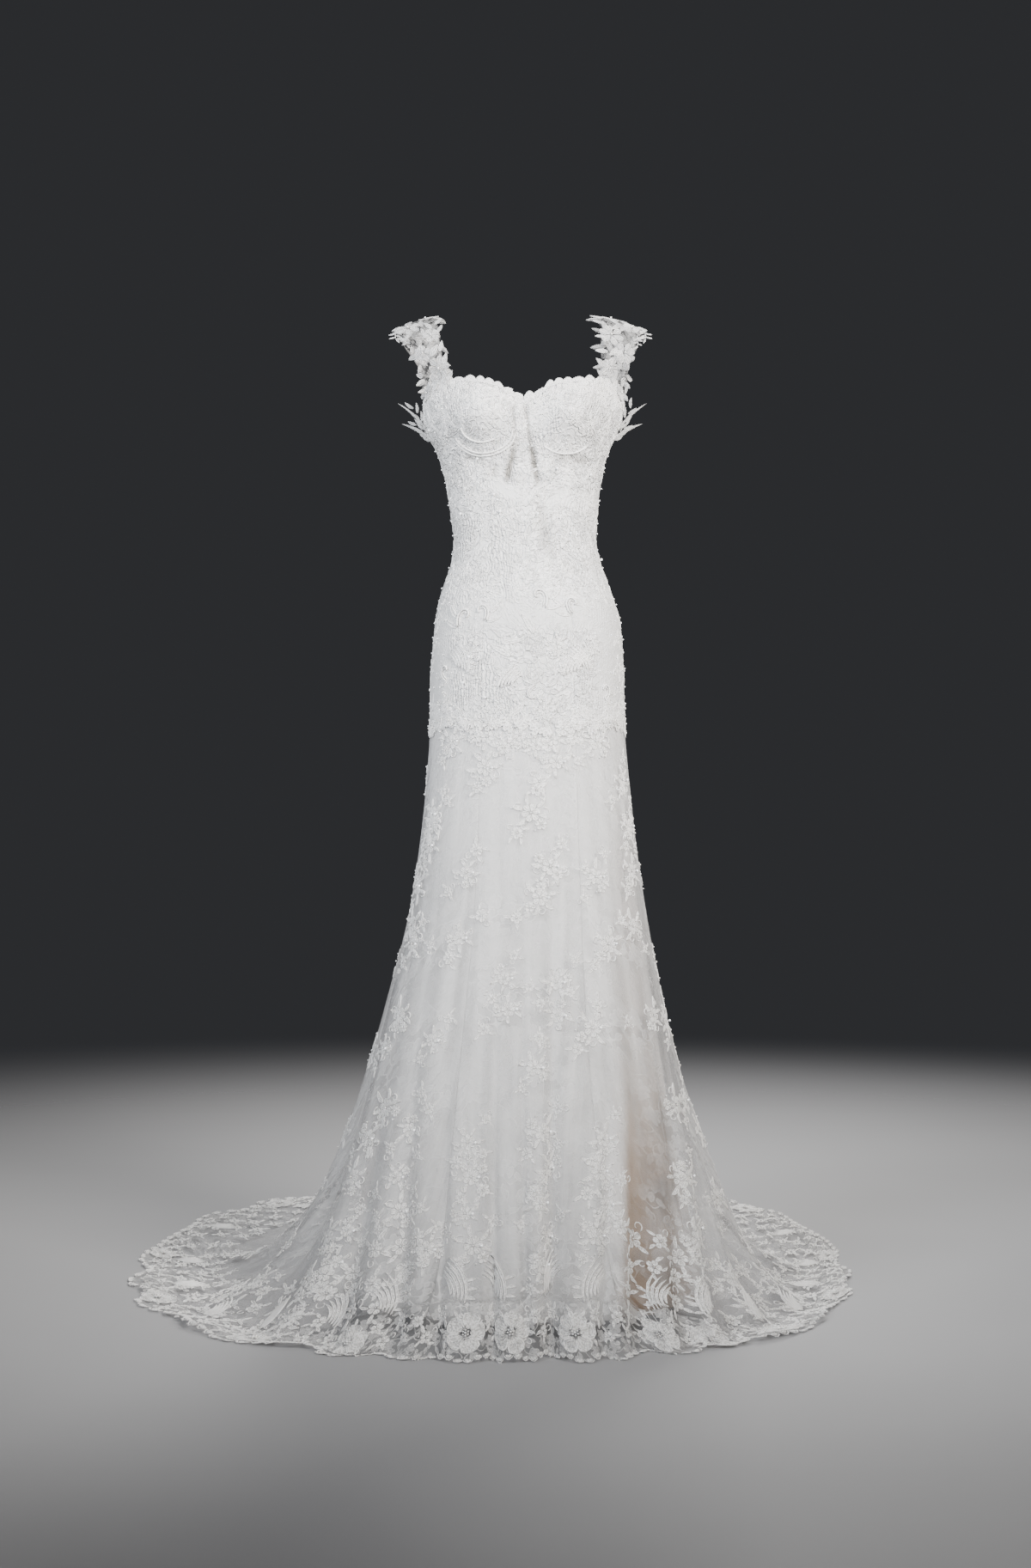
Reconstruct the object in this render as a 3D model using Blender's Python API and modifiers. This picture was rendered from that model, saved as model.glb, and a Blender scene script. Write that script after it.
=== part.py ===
"""Lace wedding gown, filled out as if worn: a princess-cut bodice on two lace shoulder straps, a lining
skirt, and a sheer lace overskirt that flares from the knee into a sweep train with a scalloped hem.

Metres, +Z up, front towards -Y. The origin is midway between the two straps, at the height where the
wearer's shoulders carry them, and the floor is FLOOR below it.
"""

import math

import bpy
import numpy as np
from mathutils import Vector

# Heights below the shoulders and cloth thicknesses
FLOOR = -1.535
SKIRT_SEAM = -0.620
BODICE_CLOTH = 0.0022
SKIRT_CLOTH = 0.0010
TRIM_CLOTH = 0.0012
SEAM_GAP = 0.0003
SEAM_LEAN = 0.16
HEM_SEAM_GAP = 0.0008

# The two cups of the bodice
CUP_X = 0.070
CUP_HEIGHT = -0.160
CUP_RISE = 0.030
CUP_SPREAD = 0.043
CUP_ABOVE = 0.052
CUP_BELOW = 0.040

# The wearer's figure, one ellipse for each row: height, half width, depth to the front, depth to the
# back, and a shift to the wearer's left
FIGURE = np.array([
    (-0.090, 0.1520, 0.0860, 0.0820, 0.0000),
    (-0.130, 0.1545, 0.0940, 0.0865, -0.0005),
    (-0.160, 0.1500, 0.0980, 0.0880, -0.0025),
    (-0.185, 0.1415, 0.0960, 0.0870, -0.0030),
    (-0.211, 0.1290, 0.0910, 0.0850, -0.0020),
    (-0.240, 0.1210, 0.0860, 0.0820, -0.0015),
    (-0.290, 0.1130, 0.0810, 0.0780, -0.0005),
    (-0.343, 0.1085, 0.0800, 0.0770, 0.0015),
    (-0.370, 0.1120, 0.0820, 0.0810, 0.0025),
    (-0.422, 0.1300, 0.0880, 0.0960, 0.0035),
    (-0.475, 0.1425, 0.0940, 0.1100, 0.0055),
    (-0.554, 0.1480, 0.1000, 0.1190, 0.0050),
    (-0.620, 0.1490, 0.1035, 0.1210, 0.0050),
    (-0.713, 0.1590, 0.1080, 0.1230, 0.0060),
])
WAIST = FIGURE[:, 1].min()

# The bodice's top edge: angle from the centre front in degrees, height
NECKLINE = np.array([
    (0, -0.1420),
    (8, -0.1355),
    (15, -0.1225),
    (26, -0.1155),
    (42, -0.1115),
    (58, -0.1100),
    (70, -0.1190),
    (92, -0.1610),
    (115, -0.1710),
    (140, -0.1690),
    (160, -0.1850),
    (180, -0.2000),
])
# Scalloped edging above it, with a scallop over each column of the panels below: name, from and to
# angle in degrees
EDGINGS = (
    ("front", 0, 92),
    ("back", 92, 180),
)
SCALLOP_POINTS = 3
SCALLOP_RISE = 0.0065
EDGING_DEPTH = 0.0045
SCALLOP_FULLNESS = 0.7

# Bodice panels: name, seam angles from the centre front in degrees, and columns of cloth
PANELS = (
    ("front_centre", -28, 28, 10),
    ("front_side", 28, 92, 8),
    ("back_side", 92, 140, 6),
    ("back", 140, 180, 5),
)
BODICE_ROWS = 13
ROW_CROWDING = 1.35

# Skirt rings from above the hip seam (ring -1) to the hem (ring 9). "sweep" draws the cloth of the
# front together at the hem, so that the sides and back fan out into the train.
RING_COLUMNS = (
    "height", "wearers_right", "wearers_left", "shift", "front", "back", "squareness", "sweep",
)
RINGS = np.array([
    (-0.554, 0.1480, 0.1480, 0.0050, 0.1000, 0.1190, 2.00, 0.00),
    (-0.620, 0.1490, 0.1490, 0.0050, 0.1035, 0.1210, 2.00, 0.00),
    (-0.750, 0.1595, 0.1595, 0.0060, 0.1100, 0.1260, 2.00, 0.05),
    (-0.900, 0.1800, 0.1805, 0.0055, 0.1200, 0.1460, 2.05, 0.15),
    (-1.050, 0.2145, 0.2130, 0.0020, 0.1380, 0.1900, 2.12, 0.30),
    (-1.200, 0.2585, 0.2570, 0.0000, 0.1620, 0.2650, 2.20, 0.48),
    (-1.330, 0.3140, 0.3080, 0.0000, 0.1900, 0.3700, 2.28, 0.66),
    (-1.430, 0.3790, 0.3550, 0.0000, 0.2180, 0.4950, 2.34, 0.80),
    (-1.495, 0.4520, 0.4110, 0.0000, 0.2450, 0.6400, 2.38, 0.90),
    (-1.533, 0.5420, 0.4780, 0.0000, 0.2670, 0.8300, 2.40, 1.00),
    (-1.5342, 0.6620, 0.5540, 0.0000, 0.2680, 1.1150, 2.40, 1.16),
])
FIRST_RING = -1
KNEE_RING, FLOOR_RING = 2, 8
KNEE = RINGS[KNEE_RING - FIRST_RING, 1]
LAST_RING = FIRST_RING + len(RINGS) - 1
SWEEP = 0.62
SWEEP_POWER = 2.2
# Where the folds turn from pleats into ripples on the floor: ring numbers, and shares of the half turn
LYING_RINGS = (7.4, 8.6)
LYING_SHARES = (0.22, 0.42)

# Folds of the overskirt: place at the knee, place at the hem, how far it draws the hem in, spread,
# first ring. Places are shares of the half turn from centre front (0) to centre back (1), minus to
# the wearer's right.
FOLDS = (
    (-1.000, -1.000, 0.040, 0.060, 2.5),
    (-0.800, -0.780, 0.034, 0.050, 3.0),
    (-0.650, -0.610, 0.032, 0.046, 3.0),
    (-0.520, -0.465, 0.034, 0.036, 3.0),
    (-0.430, -0.345, 0.034, 0.030, 3.0),
    (-0.340, -0.248, 0.030, 0.024, 2.5),
    (-0.240, -0.176, 0.020, 0.018, 2.5),
    (-0.100, -0.070, 0.018, 0.016, 2.0),
    (-0.012, 0.006, 0.012, 0.014, 1.5),
    (0.100, 0.058, 0.048, 0.020, 1.0),
    (0.270, 0.156, 0.018, 0.016, 2.5),
    (0.360, 0.226, 0.054, 0.026, 2.0),
    (0.450, 0.300, 0.034, 0.026, 3.0),
    (0.520, 0.380, 0.034, 0.032, 3.0),
    (0.570, 0.470, 0.034, 0.036, 3.0),
    (0.680, 0.610, 0.032, 0.046, 3.0),
    (0.800, 0.780, 0.034, 0.050, 3.0),
    (1.000, 1.000, 0.040, 0.060, 2.5),
)
TRAIN_LIFT = 0.30
FLOOR_CLEAR = 0.0008

# Overskirt panels: name, from and to place round the skirt, columns of cloth, columns to a hem lobe
SKIRT_PANELS = (
    ("front", -0.202, 0.200, 28, 2),
    ("side_left", 0.200, 0.490, 24, 2),
    ("side_right", -0.490, -0.202, 20, 2),
    ("back_left", 0.490, 1.000, 16, 1),
    ("back_right", -1.000, -0.490, 16, 1),
)
OVERSKIRT_ROWS = 11
SEAM_LEVEL = 0.002
FOLDED_RING = 7.0
HEM_DEPTH = 0.090
HEM_ROWS = 4
LOBE_RISE = 0.012
LOBE_POINTS = 3

# Lining skirt, with the same columns as the figure
LINING = np.array([
    (-0.6204, 0.1470, 0.1015, 0.1190, 0.0050),
    (-0.750, 0.1540, 0.1050, 0.1210, 0.0050),
    (-0.900, 0.1690, 0.1080, 0.1300, 0.0050),
    (-1.050, 0.1930, 0.1150, 0.1500, 0.0030),
    (-1.200, 0.2200, 0.1260, 0.1800, 0.0000),
    (-1.330, 0.2460, 0.1400, 0.2150, -0.0010),
    (-1.430, 0.2660, 0.1520, 0.2450, -0.0010),
    (-1.505, 0.2800, 0.1600, 0.2650, -0.0010),
])
LINING_COLUMNS_HALF = 14
LINING_ROWS = 7

# Shoulder strap where it runs clear of the bodice, front to back: x, y, z, width, aft and drop. The
# last two turn its width backwards and down towards the outer edge.
STRAP = (
    (0.1420, -0.0600, -0.0700, 0.040, 0.45, 0.10),
    (0.1480, -0.0500, -0.0430, 0.050, 0.30, 0.15),
    (0.1570, -0.0280, -0.0170, 0.066, 0.12, 0.25),
    (0.1600, 0.0000, -0.0095, 0.072, 0.00, 0.30),
    (0.1570, 0.0280, -0.0190, 0.064, -0.12, 0.25),
    (0.1480, 0.0500, -0.0480, 0.048, -0.30, 0.15),
    (0.1380, 0.0660, -0.0880, 0.040, -0.45, 0.08),
    (0.1280, 0.0760, -0.1280, 0.042, -0.55, 0.05),
)
STRAP_FRONT_BASE_DEG = (46, 78)
STRAP_BACK_BASE_DEG = (148, 124)
STRAP_OVERLAP = 0.014
STRAP_CLEAR = 0.006
STRAP_LAY_GAP = 0.0015
STRAP_CROWN = 0.003
STRAP_ACROSS = 5
STRAP_ROWS = 24
STRAP_SCALLOP_ROWS = 4
STRAP_SCALLOP = 0.14
STRAP_SCALLOP_MIDDLE = 0.6
STRAP_SCALLOP_START = 0.02
STRAP_TURN = 0.04

# Gaps between the strap's flowers: place along it (in rows) and across it, and diameter
STRAP_GAPS = (
    (5.6, 0.20, 0.0075),
    (6.4, -0.18, 0.0085),
    (9.3, 0.10, 0.0090),
    (14.7, -0.10, 0.0090),
    (18.2, 0.16, 0.0080),
)
GAP_CUTTER_DEPTH = 0.012
SHOULDER_LEAN = 0.14

# Flowers raised on the hem lace: place round the skirt, distance up from the hem, radius
HEM_FLOWERS = (
    (-0.860, 0.045, 0.036),
    (-0.700, 0.045, 0.036),
    (-0.560, 0.045, 0.036),
    (-0.405, 0.045, 0.034),
    (-0.300, 0.045, 0.030),
    (-0.123, 0.045, 0.032),
    (-0.032, 0.045, 0.032),
    (0.107, 0.045, 0.032),
    (0.258, 0.045, 0.030),
    (0.328, 0.045, 0.030),
    (0.420, 0.045, 0.034),
    (0.560, 0.045, 0.036),
    (0.700, 0.045, 0.036),
    (0.860, 0.045, 0.036),
)
FLOWER_RISE = 0.0020
FLOWER_CROWN = 0.5

# Free lace sprigs at the underarm: each leaf's foot on the bodice (angle in degrees, height), how far
# its tip stands from that foot to the side, to the back and up, and its width
SPRIG_LEAVES = (
    (97, -0.1700, 0.034, 0.010, 0.060, 0.013),
    (104, -0.1850, 0.042, 0.012, 0.046, 0.018),
)
LEAF_FOOT = 0.16
LEAF_SEAT = 0.0014
LEAF_ROWS = 6
LEAF_BELLY = 1.3
LEAF_TAPER = 1.1

# Covered buttons down the centre back
BUTTON_COUNT = 10
BUTTON_PITCH = 0.030
BUTTON_TOP = -0.218
BUTTON_RADIUS = 0.0055
BUTTON_RISE = 0.0035
BUTTON_SEAT = 0.0008
BUTTON_EDGE = 0.0012

IVORY_LACE = (0.88, 0.86, 0.83)
CHAMPAGNE = (0.80, 0.70, 0.60)


def smooth(at, xs, ys):
    """Monotone cubic through (xs, ys), xs rising: its slopes are harmonic means of its neighbours'."""
    step = np.diff(xs)
    rise = np.diff(ys) / step
    slope = np.concatenate([rise[:1], np.zeros(len(xs) - 2), rise[-1:]])
    same = rise[:-1] * rise[1:] > 0
    total = np.where(same, rise[:-1] + rise[1:], 1.0)
    slope[1:-1] = np.where(same, 2 * rise[:-1] * rise[1:] / total, 0.0)
    at = np.asarray(at, float)
    i = np.clip(np.searchsorted(xs, at) - 1, 0, len(step) - 1)
    t = (at - xs[i]) / step[i]
    return (
        ys[i] * (1 + 2 * t) * (1 - t) ** 2
        + slope[i] * step[i] * t * (1 - t) ** 2
        + ys[i + 1] * t * t * (3 - 2 * t)
        + slope[i + 1] * step[i] * t * t * (t - 1)
    )


def ramp(value, low, high):
    """0 below low, 1 above high, and a smooth step between."""
    t = np.clip((value - low) / (high - low), 0, 1)
    return t * t * (3 - 2 * t)


def ellipse(angle, height, table):
    """Points at these angles from the centre front, on the ellipses that the table gives by height."""
    wide, front, back, shift = (smooth(-height, -table[:, 0], table[:, k]) for k in range(1, 5))
    x = shift + wide * np.sin(angle)
    y = (back - front) / 2 - (back + front) / 2 * np.cos(angle)
    return np.stack([x, y, height + 0 * x], axis=-1)


def torso(angle, height):
    """Middle surface of the bodice: the figure's ellipses, pushed forward by the two cups."""
    points = ellipse(angle, height, FIGURE)
    across = (np.abs(points[..., 0]) - CUP_X) / CUP_SPREAD
    above = height - CUP_HEIGHT
    along = above / np.where(above > 0, CUP_ABOVE, CUP_BELOW)
    points[..., 1] -= CUP_RISE * np.exp(-across**2 - along**2) * np.clip(2 * np.cos(angle), 0, 1)
    return points


def neckline(angle):
    """Height of the bodice's top edge at an angle, in radians, from the centre front."""
    return smooth(np.degrees(np.abs(angle)), NECKLINE[:, 0], NECKLINE[:, 1])


def outward(surface, angle, height):
    """Unit normals of a surface of (angle, height), by small steps."""
    step = 1e-4
    around = surface(angle + step, height) - surface(angle - step, height)
    up = surface(angle, height + step) - surface(angle, height - step)
    normal = np.cross(around, up)
    return normal / np.linalg.norm(normal, axis=-1, keepdims=True)


def fold_draw(share, level):
    """How far the folds draw the overskirt in, at a share of the half turn and a ring number."""
    knee_to_hem = ramp(level, KNEE_RING, FLOOR_RING)
    draw = 0 * share
    for at_knee, at_hem, depth, spread, first_ring in FOLDS:
        place = at_knee + (at_hem - at_knee) * knee_to_hem
        grow = ramp(level, first_ring, FLOOR_RING)
        draw = draw + depth * grow * np.exp(-(((share - place) / spread) ** 2))
    return draw


def overskirt(share, level):
    """Middle surface of the overskirt: superellipses about centres that move back towards the train,
    drawn in by the folds, which turn into low ripples where the train lies on the floor."""
    share, level = np.broadcast_arrays(np.asarray(share, float), np.asarray(level, float))
    numbers = np.arange(len(RINGS)) + FIRST_RING
    height, on_right, on_left, shift, front, back, square, sweep = (
        smooth(level, numbers, RINGS[:, k]) for k in range(len(RING_COLUMNS))
    )
    turn = np.abs(share)
    fanned = SWEEP * sweep
    angle = math.pi * np.sign(share) * ((1 - fanned) * turn + fanned * turn**SWEEP_POWER)
    wide, deep = np.where(share < 0, on_right, on_left), (front + back) / 2
    ratios = np.abs(np.cos(angle) / deep) ** square + np.abs(np.sin(angle) / wide) ** square
    reach = ratios ** (-1 / square)
    draw = fold_draw(share, level)
    lying = ramp(level, *LYING_RINGS) * ramp(turn, *LYING_SHARES)
    reach = reach - draw * (1 - lying)
    lift = draw * lying * TRAIN_LIFT * (1 - ramp(level, LYING_RINGS[1], LAST_RING))
    x = shift + reach * np.sin(angle)
    y = (back - front) / 2 - reach * np.cos(angle)
    z = np.maximum(height + lift, FLOOR + FLOOR_CLEAR)
    return np.stack([x, y, z], axis=-1)


def level_above_hem(share, distance):
    """Ring numbers at distances up the cloth from the hem, at places round the skirt."""
    levels = np.linspace(LAST_RING, 5, 161)
    line = overskirt(np.ravel(share)[:, None], levels)
    lengths = np.linalg.norm(np.diff(line, axis=1), axis=2).cumsum(axis=1)
    found = [np.interp(d, np.r_[0, run], levels) for d, run in zip(np.ravel(distance), lengths)]
    return np.reshape(found, np.shape(share))


def skirt_columns(start, end, columns):
    """Places of a panel's columns: equal lengths of cloth apart on a ring where the folds are full."""
    fine = np.linspace(start, end, 600)
    ring = overskirt(fine, FOLDED_RING)
    run = np.r_[0, np.linalg.norm(np.diff(ring, axis=0), axis=1).cumsum()]
    shares = np.interp(np.linspace(0, run[-1], columns + 1), run, fine)
    return seam_trimmed(shares, KNEE, SKIRT_CLOTH)


def on_panel(columns, share, distance):
    """Points on the straight runs between a skirt panel's columns, at distances up from the hem."""
    i = np.clip(np.searchsorted(columns, share) - 1, 0, len(columns) - 2)
    low, high = (overskirt(columns[k], level_above_hem(columns[k], distance)) for k in (i, i + 1))
    across = (share - columns[i]) / (columns[i + 1] - columns[i])
    return low + (high - low) * across[..., None]


def seam_trimmed(shares, reach, thickness):
    """The same places with the two ends moved in by half a seam gap, on a ring of about this radius.
    The walls' edges lean in at a seam, by a share of their thickness."""
    shares = np.array(shares, float)
    trim = (SEAM_GAP + SEAM_LEAN * thickness) / 2 / (math.pi * reach)
    shares[0] += trim
    shares[-1] -= trim
    return shares


def material(name, colour, roughness):
    """A cloth finish: colour and roughness on a Principled BSDF."""
    made = bpy.data.materials.new(name)
    made.use_nodes = True
    shader = made.node_tree.nodes["Principled BSDF"]
    shader.inputs["Base Color"].default_value = (*colour, 1)
    shader.inputs["Roughness"].default_value = roughness
    shader.inputs["Metallic"].default_value = 0.0
    return made


def new_object(name, points, faces, finish, collection):
    """An object with this mesh, shaded smooth, in the gown's collection."""
    mesh = bpy.data.meshes.new(name)
    mesh.from_pydata([tuple(p) for p in points], [], faces)
    mesh.shade_smooth()
    mesh.materials.append(finish)
    made = bpy.data.objects.new(name, mesh)
    collection.objects.link(made)
    return made


def cloth(name, grid, thickness, finish, collection, relief=None):
    """A wall of cloth: an open sheet through a grid of points, rows by columns, given its thickness.
    With relief, the sheet is the inner face, and the outer one rises by relief at each point."""
    rows, columns = grid.shape[:2]
    faces = [
        (r * columns + c, (r + 1) * columns + c, (r + 1) * columns + c + 1, r * columns + c + 1)
        for r in range(rows - 1)
        for c in range(columns - 1)
    ]
    made = new_object(name, grid.reshape(-1, 3), faces, finish, collection)
    solidify = made.modifiers.new("thickness", "SOLIDIFY")
    solidify.thickness = thickness
    solidify.offset = 0
    if relief is not None:
        whole = thickness + relief.max()
        raised = made.vertex_groups.new(name="relief")
        for index, rise in enumerate(relief.ravel()):
            raised.add([index], (thickness + rise) / whole, "REPLACE")
        solidify.thickness = whole
        solidify.offset = 1
        solidify.vertex_group = raised.name
    return made


def grid_normals(grid):
    """Outward unit normals of a grid whose rows run down the cloth and columns to the wearer's left."""
    around = np.gradient(grid, axis=1)
    down = np.gradient(grid, axis=0)
    normal = np.cross(down, around)
    return normal / np.linalg.norm(normal, axis=-1, keepdims=True)


def move_to(thing, collection):
    """Take an object out of its collections and put it in this one."""
    for other in thing.users_collection:
        other.objects.unlink(thing)
    collection.objects.link(thing)


def panel_angles(start, end, columns):
    """Angles, in radians, of a bodice panel's columns, with half a seam gap off each end."""
    return math.pi * seam_trimmed(np.linspace(start, end, columns + 1) / 180, WAIST, BODICE_CLOTH)


def bodice_panels(finish, collection):
    """The seven princess panels, from the top edge to the hip seam, denser over the cups."""
    down = np.linspace(0, 1, BODICE_ROWS + 1)[:, None] ** ROW_CROWDING
    for name, *span in PANELS:
        angles = panel_angles(*span)
        sides = ((1, "_left"), (-1, "_right")) if angles[0] > 0 else ((1, ""),)
        for side, tag in sides:
            angle = side * angles[::side][None, :]
            top = neckline(angle)
            height = top + (SKIRT_SEAM + SEAM_GAP / 2 - top) * down
            cloth(f"bodice_{name}{tag}", torso(angle, height), BODICE_CLOTH, finish, collection)


def panels_top(angle):
    """Points on the straight runs between the columns of the panels' top edge."""
    corners = np.concatenate([panel_angles(*span) for _, *span in PANELS])
    corners = np.r_[corners, -corners]
    corners.sort()
    edge = torso(corners, neckline(corners))
    return np.stack([np.interp(angle, corners, edge[:, k]) for k in range(3)], axis=-1)


def across_edge(edge, lean):
    """Unit vectors square to an edge, in the plane of its own direction and lean."""
    along = np.gradient(edge, axis=0)
    along /= np.linalg.norm(along, axis=-1, keepdims=True)
    square = lean - along * (lean * along).sum(axis=-1, keepdims=True)
    return square / np.linalg.norm(square, axis=-1, keepdims=True)


def edging_angles(start, end):
    """Angles, in radians, of an edging's points: the columns of the panels below it, each divided."""
    shares = []
    for _, low, high, columns in PANELS:
        low, columns = (0, columns // 2) if low < 0 else (low, columns)
        if start <= low < end:
            shares.extend(np.linspace(low, high, columns * SCALLOP_POINTS, endpoint=False) / 180)
    return math.pi * seam_trimmed([*shares, end / 180], WAIST, BODICE_CLOTH)


def neck_edging(finish, collection):
    """Scalloped lace edging that carries the bodice's wall up by one scallop."""
    for name, start, end in EDGINGS:
        for side, tag in ((1, "left"), (-1, "right")):
            angle = side * edging_angles(start, end)[::side]
            wave = np.abs(np.sin(math.pi * np.arange(len(angle)) / SCALLOP_POINTS)) ** SCALLOP_FULLNESS
            foot = panels_top(angle)
            rise = EDGING_DEPTH + SCALLOP_RISE * wave
            lean = torso(angle, foot[:, 2] + rise) - torso(angle, foot[:, 2])
            foot += SEAM_GAP * across_edge(foot, lean)
            grid = np.stack([foot + lean, foot])
            cloth(f"neck_edging_{name}_{tag}", grid, TRIM_CLOTH, finish, collection)


def strap_row_on_bodice(span_deg, drop):
    """A row of the strap that lies on the bodice, this far below its top edge."""
    angle = np.radians(np.linspace(*span_deg, STRAP_ACROSS))
    height = neckline(angle) - drop
    out = (BODICE_CLOTH + TRIM_CLOTH) / 2 + STRAP_LAY_GAP
    return torso(angle, height) + out * outward(torso, angle, height)


def strap_row_free(x, y, z, width, aft, drop):
    """A row of the strap clear of the bodice, crowned across its width."""
    across = np.linspace(-0.5, 0.5, STRAP_ACROSS)[:, None]
    way = np.array([1.0, aft, -drop])
    way /= np.linalg.norm(way)
    turned = min(1.0, abs(y) / STRAP_TURN)
    crown = np.array([0, np.sign(y) * turned, 1 - turned])
    return np.array([x, y, z]) + width * across * way + STRAP_CROWN * (1 - 4 * across**2) * crown


def through_rows(rows, count):
    """Rows of points spaced evenly along smooth curves through the given rows."""
    rows = np.array(rows)
    middle = rows[:, rows.shape[1] // 2]
    run = np.r_[0, np.linalg.norm(np.diff(middle, axis=0), axis=1).cumsum()]
    at = np.linspace(0, run[-1], count + 1)
    tangent = np.gradient(rows, run, axis=0)
    i = np.clip(np.searchsorted(run, at) - 1, 0, len(run) - 2)
    step = (run[i + 1] - run[i])[:, None, None]
    t = ((at - run[i]) / (run[i + 1] - run[i]))[:, None, None]
    return (
        rows[i] * (1 + 2 * t) * (1 - t) ** 2
        + tangent[i] * step * t * (1 - t) ** 2
        + rows[i + 1] * t * t * (3 - 2 * t)
        + tangent[i + 1] * step * t * t * (t - 1)
    )


def strap_grid(side):
    """Middle surface of one strap, front base to back base, for side 1 (left) or -1 (right)."""
    front, back = side * np.array(STRAP_FRONT_BASE_DEG), side * np.array(STRAP_BACK_BASE_DEG)
    free = np.array([strap_row_free(*row) for row in STRAP]) * (side, 1, 1)
    rows = [
        strap_row_on_bodice(front, STRAP_OVERLAP),
        strap_row_on_bodice(front, -STRAP_CLEAR),
        *free,
        strap_row_on_bodice(back, -STRAP_CLEAR),
        strap_row_on_bodice(back, STRAP_OVERLAP),
    ]
    grid = through_rows(rows, STRAP_ROWS)
    above = np.clip(grid[..., 2] - STRAP[0][2], 0, None)
    grid[..., 0] -= SHOULDER_LEAN * above
    wave = np.abs(np.sin(math.pi * np.arange(STRAP_ROWS + 1) / STRAP_SCALLOP_ROWS))
    clear = np.clip(above.mean(axis=1) / STRAP_SCALLOP_START, 0, 1)
    middle = grid[:, STRAP_ACROSS // 2][:, None]
    fullness = 1 + STRAP_SCALLOP * clear * (wave - STRAP_SCALLOP_MIDDLE)
    grid = middle + (grid - middle) * fullness[:, None, None]
    return grid[:, ::side]


def straps(finish, collection, cutters):
    """The two shoulder straps, cut through at the gaps between their flowers."""
    for side, tag in ((1, "left"), (-1, "right")):
        grid = strap_grid(side)
        strap = cloth(f"strap_{tag}", grid, TRIM_CLOTH, finish, collection)
        for number, (row, across, diameter) in enumerate(STRAP_GAPS, 1):
            low = int(row)
            line = grid[low] + (row - low) * (grid[low + 1] - grid[low])
            column = (STRAP_ACROSS - 1) * (0.5 + side * across)
            left = int(column)
            centre = line[left] + (column - left) * (line[left + 1] - line[left])
            normal = np.cross(line[-1] - line[0], grid[low + 1, 2] - grid[low, 2])
            bpy.ops.mesh.primitive_cylinder_add(
                vertices=10, radius=diameter / 2, depth=GAP_CUTTER_DEPTH, location=centre
            )
            cutter = bpy.context.object
            cutter.name = f"strap_gap_{tag}_{number}"
            cutter.rotation_euler = Vector(normal).to_track_quat("Z", "Y").to_euler()
            cutter.hide_render = True
            cutter.display_type = "WIRE"
            move_to(cutter, cutters)
            cut = strap.modifiers.new("gap", "BOOLEAN")
            cut.object = cutter


def underarm_sprigs(finish, collection):
    """Leaves of lace that stand free of the top edge under each arm."""
    along = np.linspace(0, 1, LEAF_ROWS + 1)[:, None]
    for side, tag in ((1, "left"), (-1, "right")):
        for number, (foot_deg, height, out, back, up, width) in enumerate(SPRIG_LEAVES, 1):
            place = np.array(math.radians(side * foot_deg)), np.array(height)
            foot = torso(*place) + (BODICE_CLOTH / 2 + LEAF_SEAT) * outward(torso, *place)
            reach = np.array([side * out, back, up])
            way = np.cross(reach, (0, 1, 0.2))
            half = width / 2 * (LEAF_FOOT + np.sin(math.pi * along**LEAF_BELLY) ** LEAF_TAPER)
            across = half * way / np.linalg.norm(way)
            spine = foot + reach * along
            grid = np.stack([spine + across, spine, spine - across], axis=1)
            cloth(f"underarm_sprig_{tag}_{number}", grid, TRIM_CLOTH, finish, collection)


def above_hem_seam(columns):
    """Ring numbers of a panel's last row: a seam gap above the hem band, square to the seam."""
    at_seam = level_above_hem(columns, np.full(len(columns), HEM_DEPTH))
    at_gap = level_above_hem(columns, np.full(len(columns), HEM_DEPTH + HEM_SEAM_GAP))
    edge, rise = overskirt(columns, at_seam), overskirt(columns, at_gap) - overskirt(columns, at_seam)
    run = np.diff(edge, axis=0)
    run /= np.linalg.norm(run, axis=1, keepdims=True)
    square = np.minimum(
        np.linalg.norm(np.cross(rise, np.vstack([run, run[-1]])), axis=1),
        np.linalg.norm(np.cross(rise, np.vstack([run[0], run])), axis=1),
    )
    return level_above_hem(columns, HEM_DEPTH + HEM_SEAM_GAP**2 / square)


def overskirt_panels(finish, collection):
    """The five panels of the sheer overskirt, from the hip seam to the hem band."""
    down = np.linspace(0, 1, OVERSKIRT_ROWS + 1)[:, None]
    for name, start, end, columns, _ in SKIRT_PANELS:
        share = skirt_columns(start, end, columns)
        level = SEAM_LEVEL + (above_hem_seam(share) - SEAM_LEVEL) * down
        cloth(f"overskirt_{name}", overskirt(share, level), SKIRT_CLOTH, finish, collection)


def hem_band(finish, collection):
    """The lace hem band, whose lower edge runs in lobes. Its outer face rises over the flowers."""
    for name, start, end, columns, per_lobe in SKIRT_PANELS:
        corners = skirt_columns(start, end, columns)
        steps = columns // per_lobe * LOBE_POINTS
        share = np.interp(np.linspace(0, columns, steps + 1), np.arange(columns + 1), corners)
        wave = np.abs(np.sin(math.pi * np.arange(steps + 1) / LOBE_POINTS)) ** SCALLOP_FULLNESS
        edge = LOBE_RISE * (1 - wave)
        up = edge + (HEM_DEPTH - edge) * np.linspace(1, 0, HEM_ROWS + 1)[:, None]
        grid = np.stack([on_panel(corners, share, row) for row in up])
        inner = grid - SKIRT_CLOTH / 2 * grid_normals(grid)
        relief = flower_relief(share, up)
        cloth(f"hem_lace_{name}", inner, SKIRT_CLOTH, finish, collection, relief)


def flower_relief(share, up):
    """How far the hem lace's outer face rises: a low dome at each flower."""
    rise = 0 * up
    for place, centre, radius in HEM_FLOWERS:
        ends = overskirt(place + np.array([-0.01, 0.01]), FLOOR_RING)
        across = (share - place) * np.linalg.norm(ends[1] - ends[0]) / 0.02
        away = np.hypot(across, up - centre) / radius
        rise = np.maximum(rise, FLOWER_RISE * (1 - ramp(away, FLOWER_CROWN, 1)))
    return rise


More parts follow.
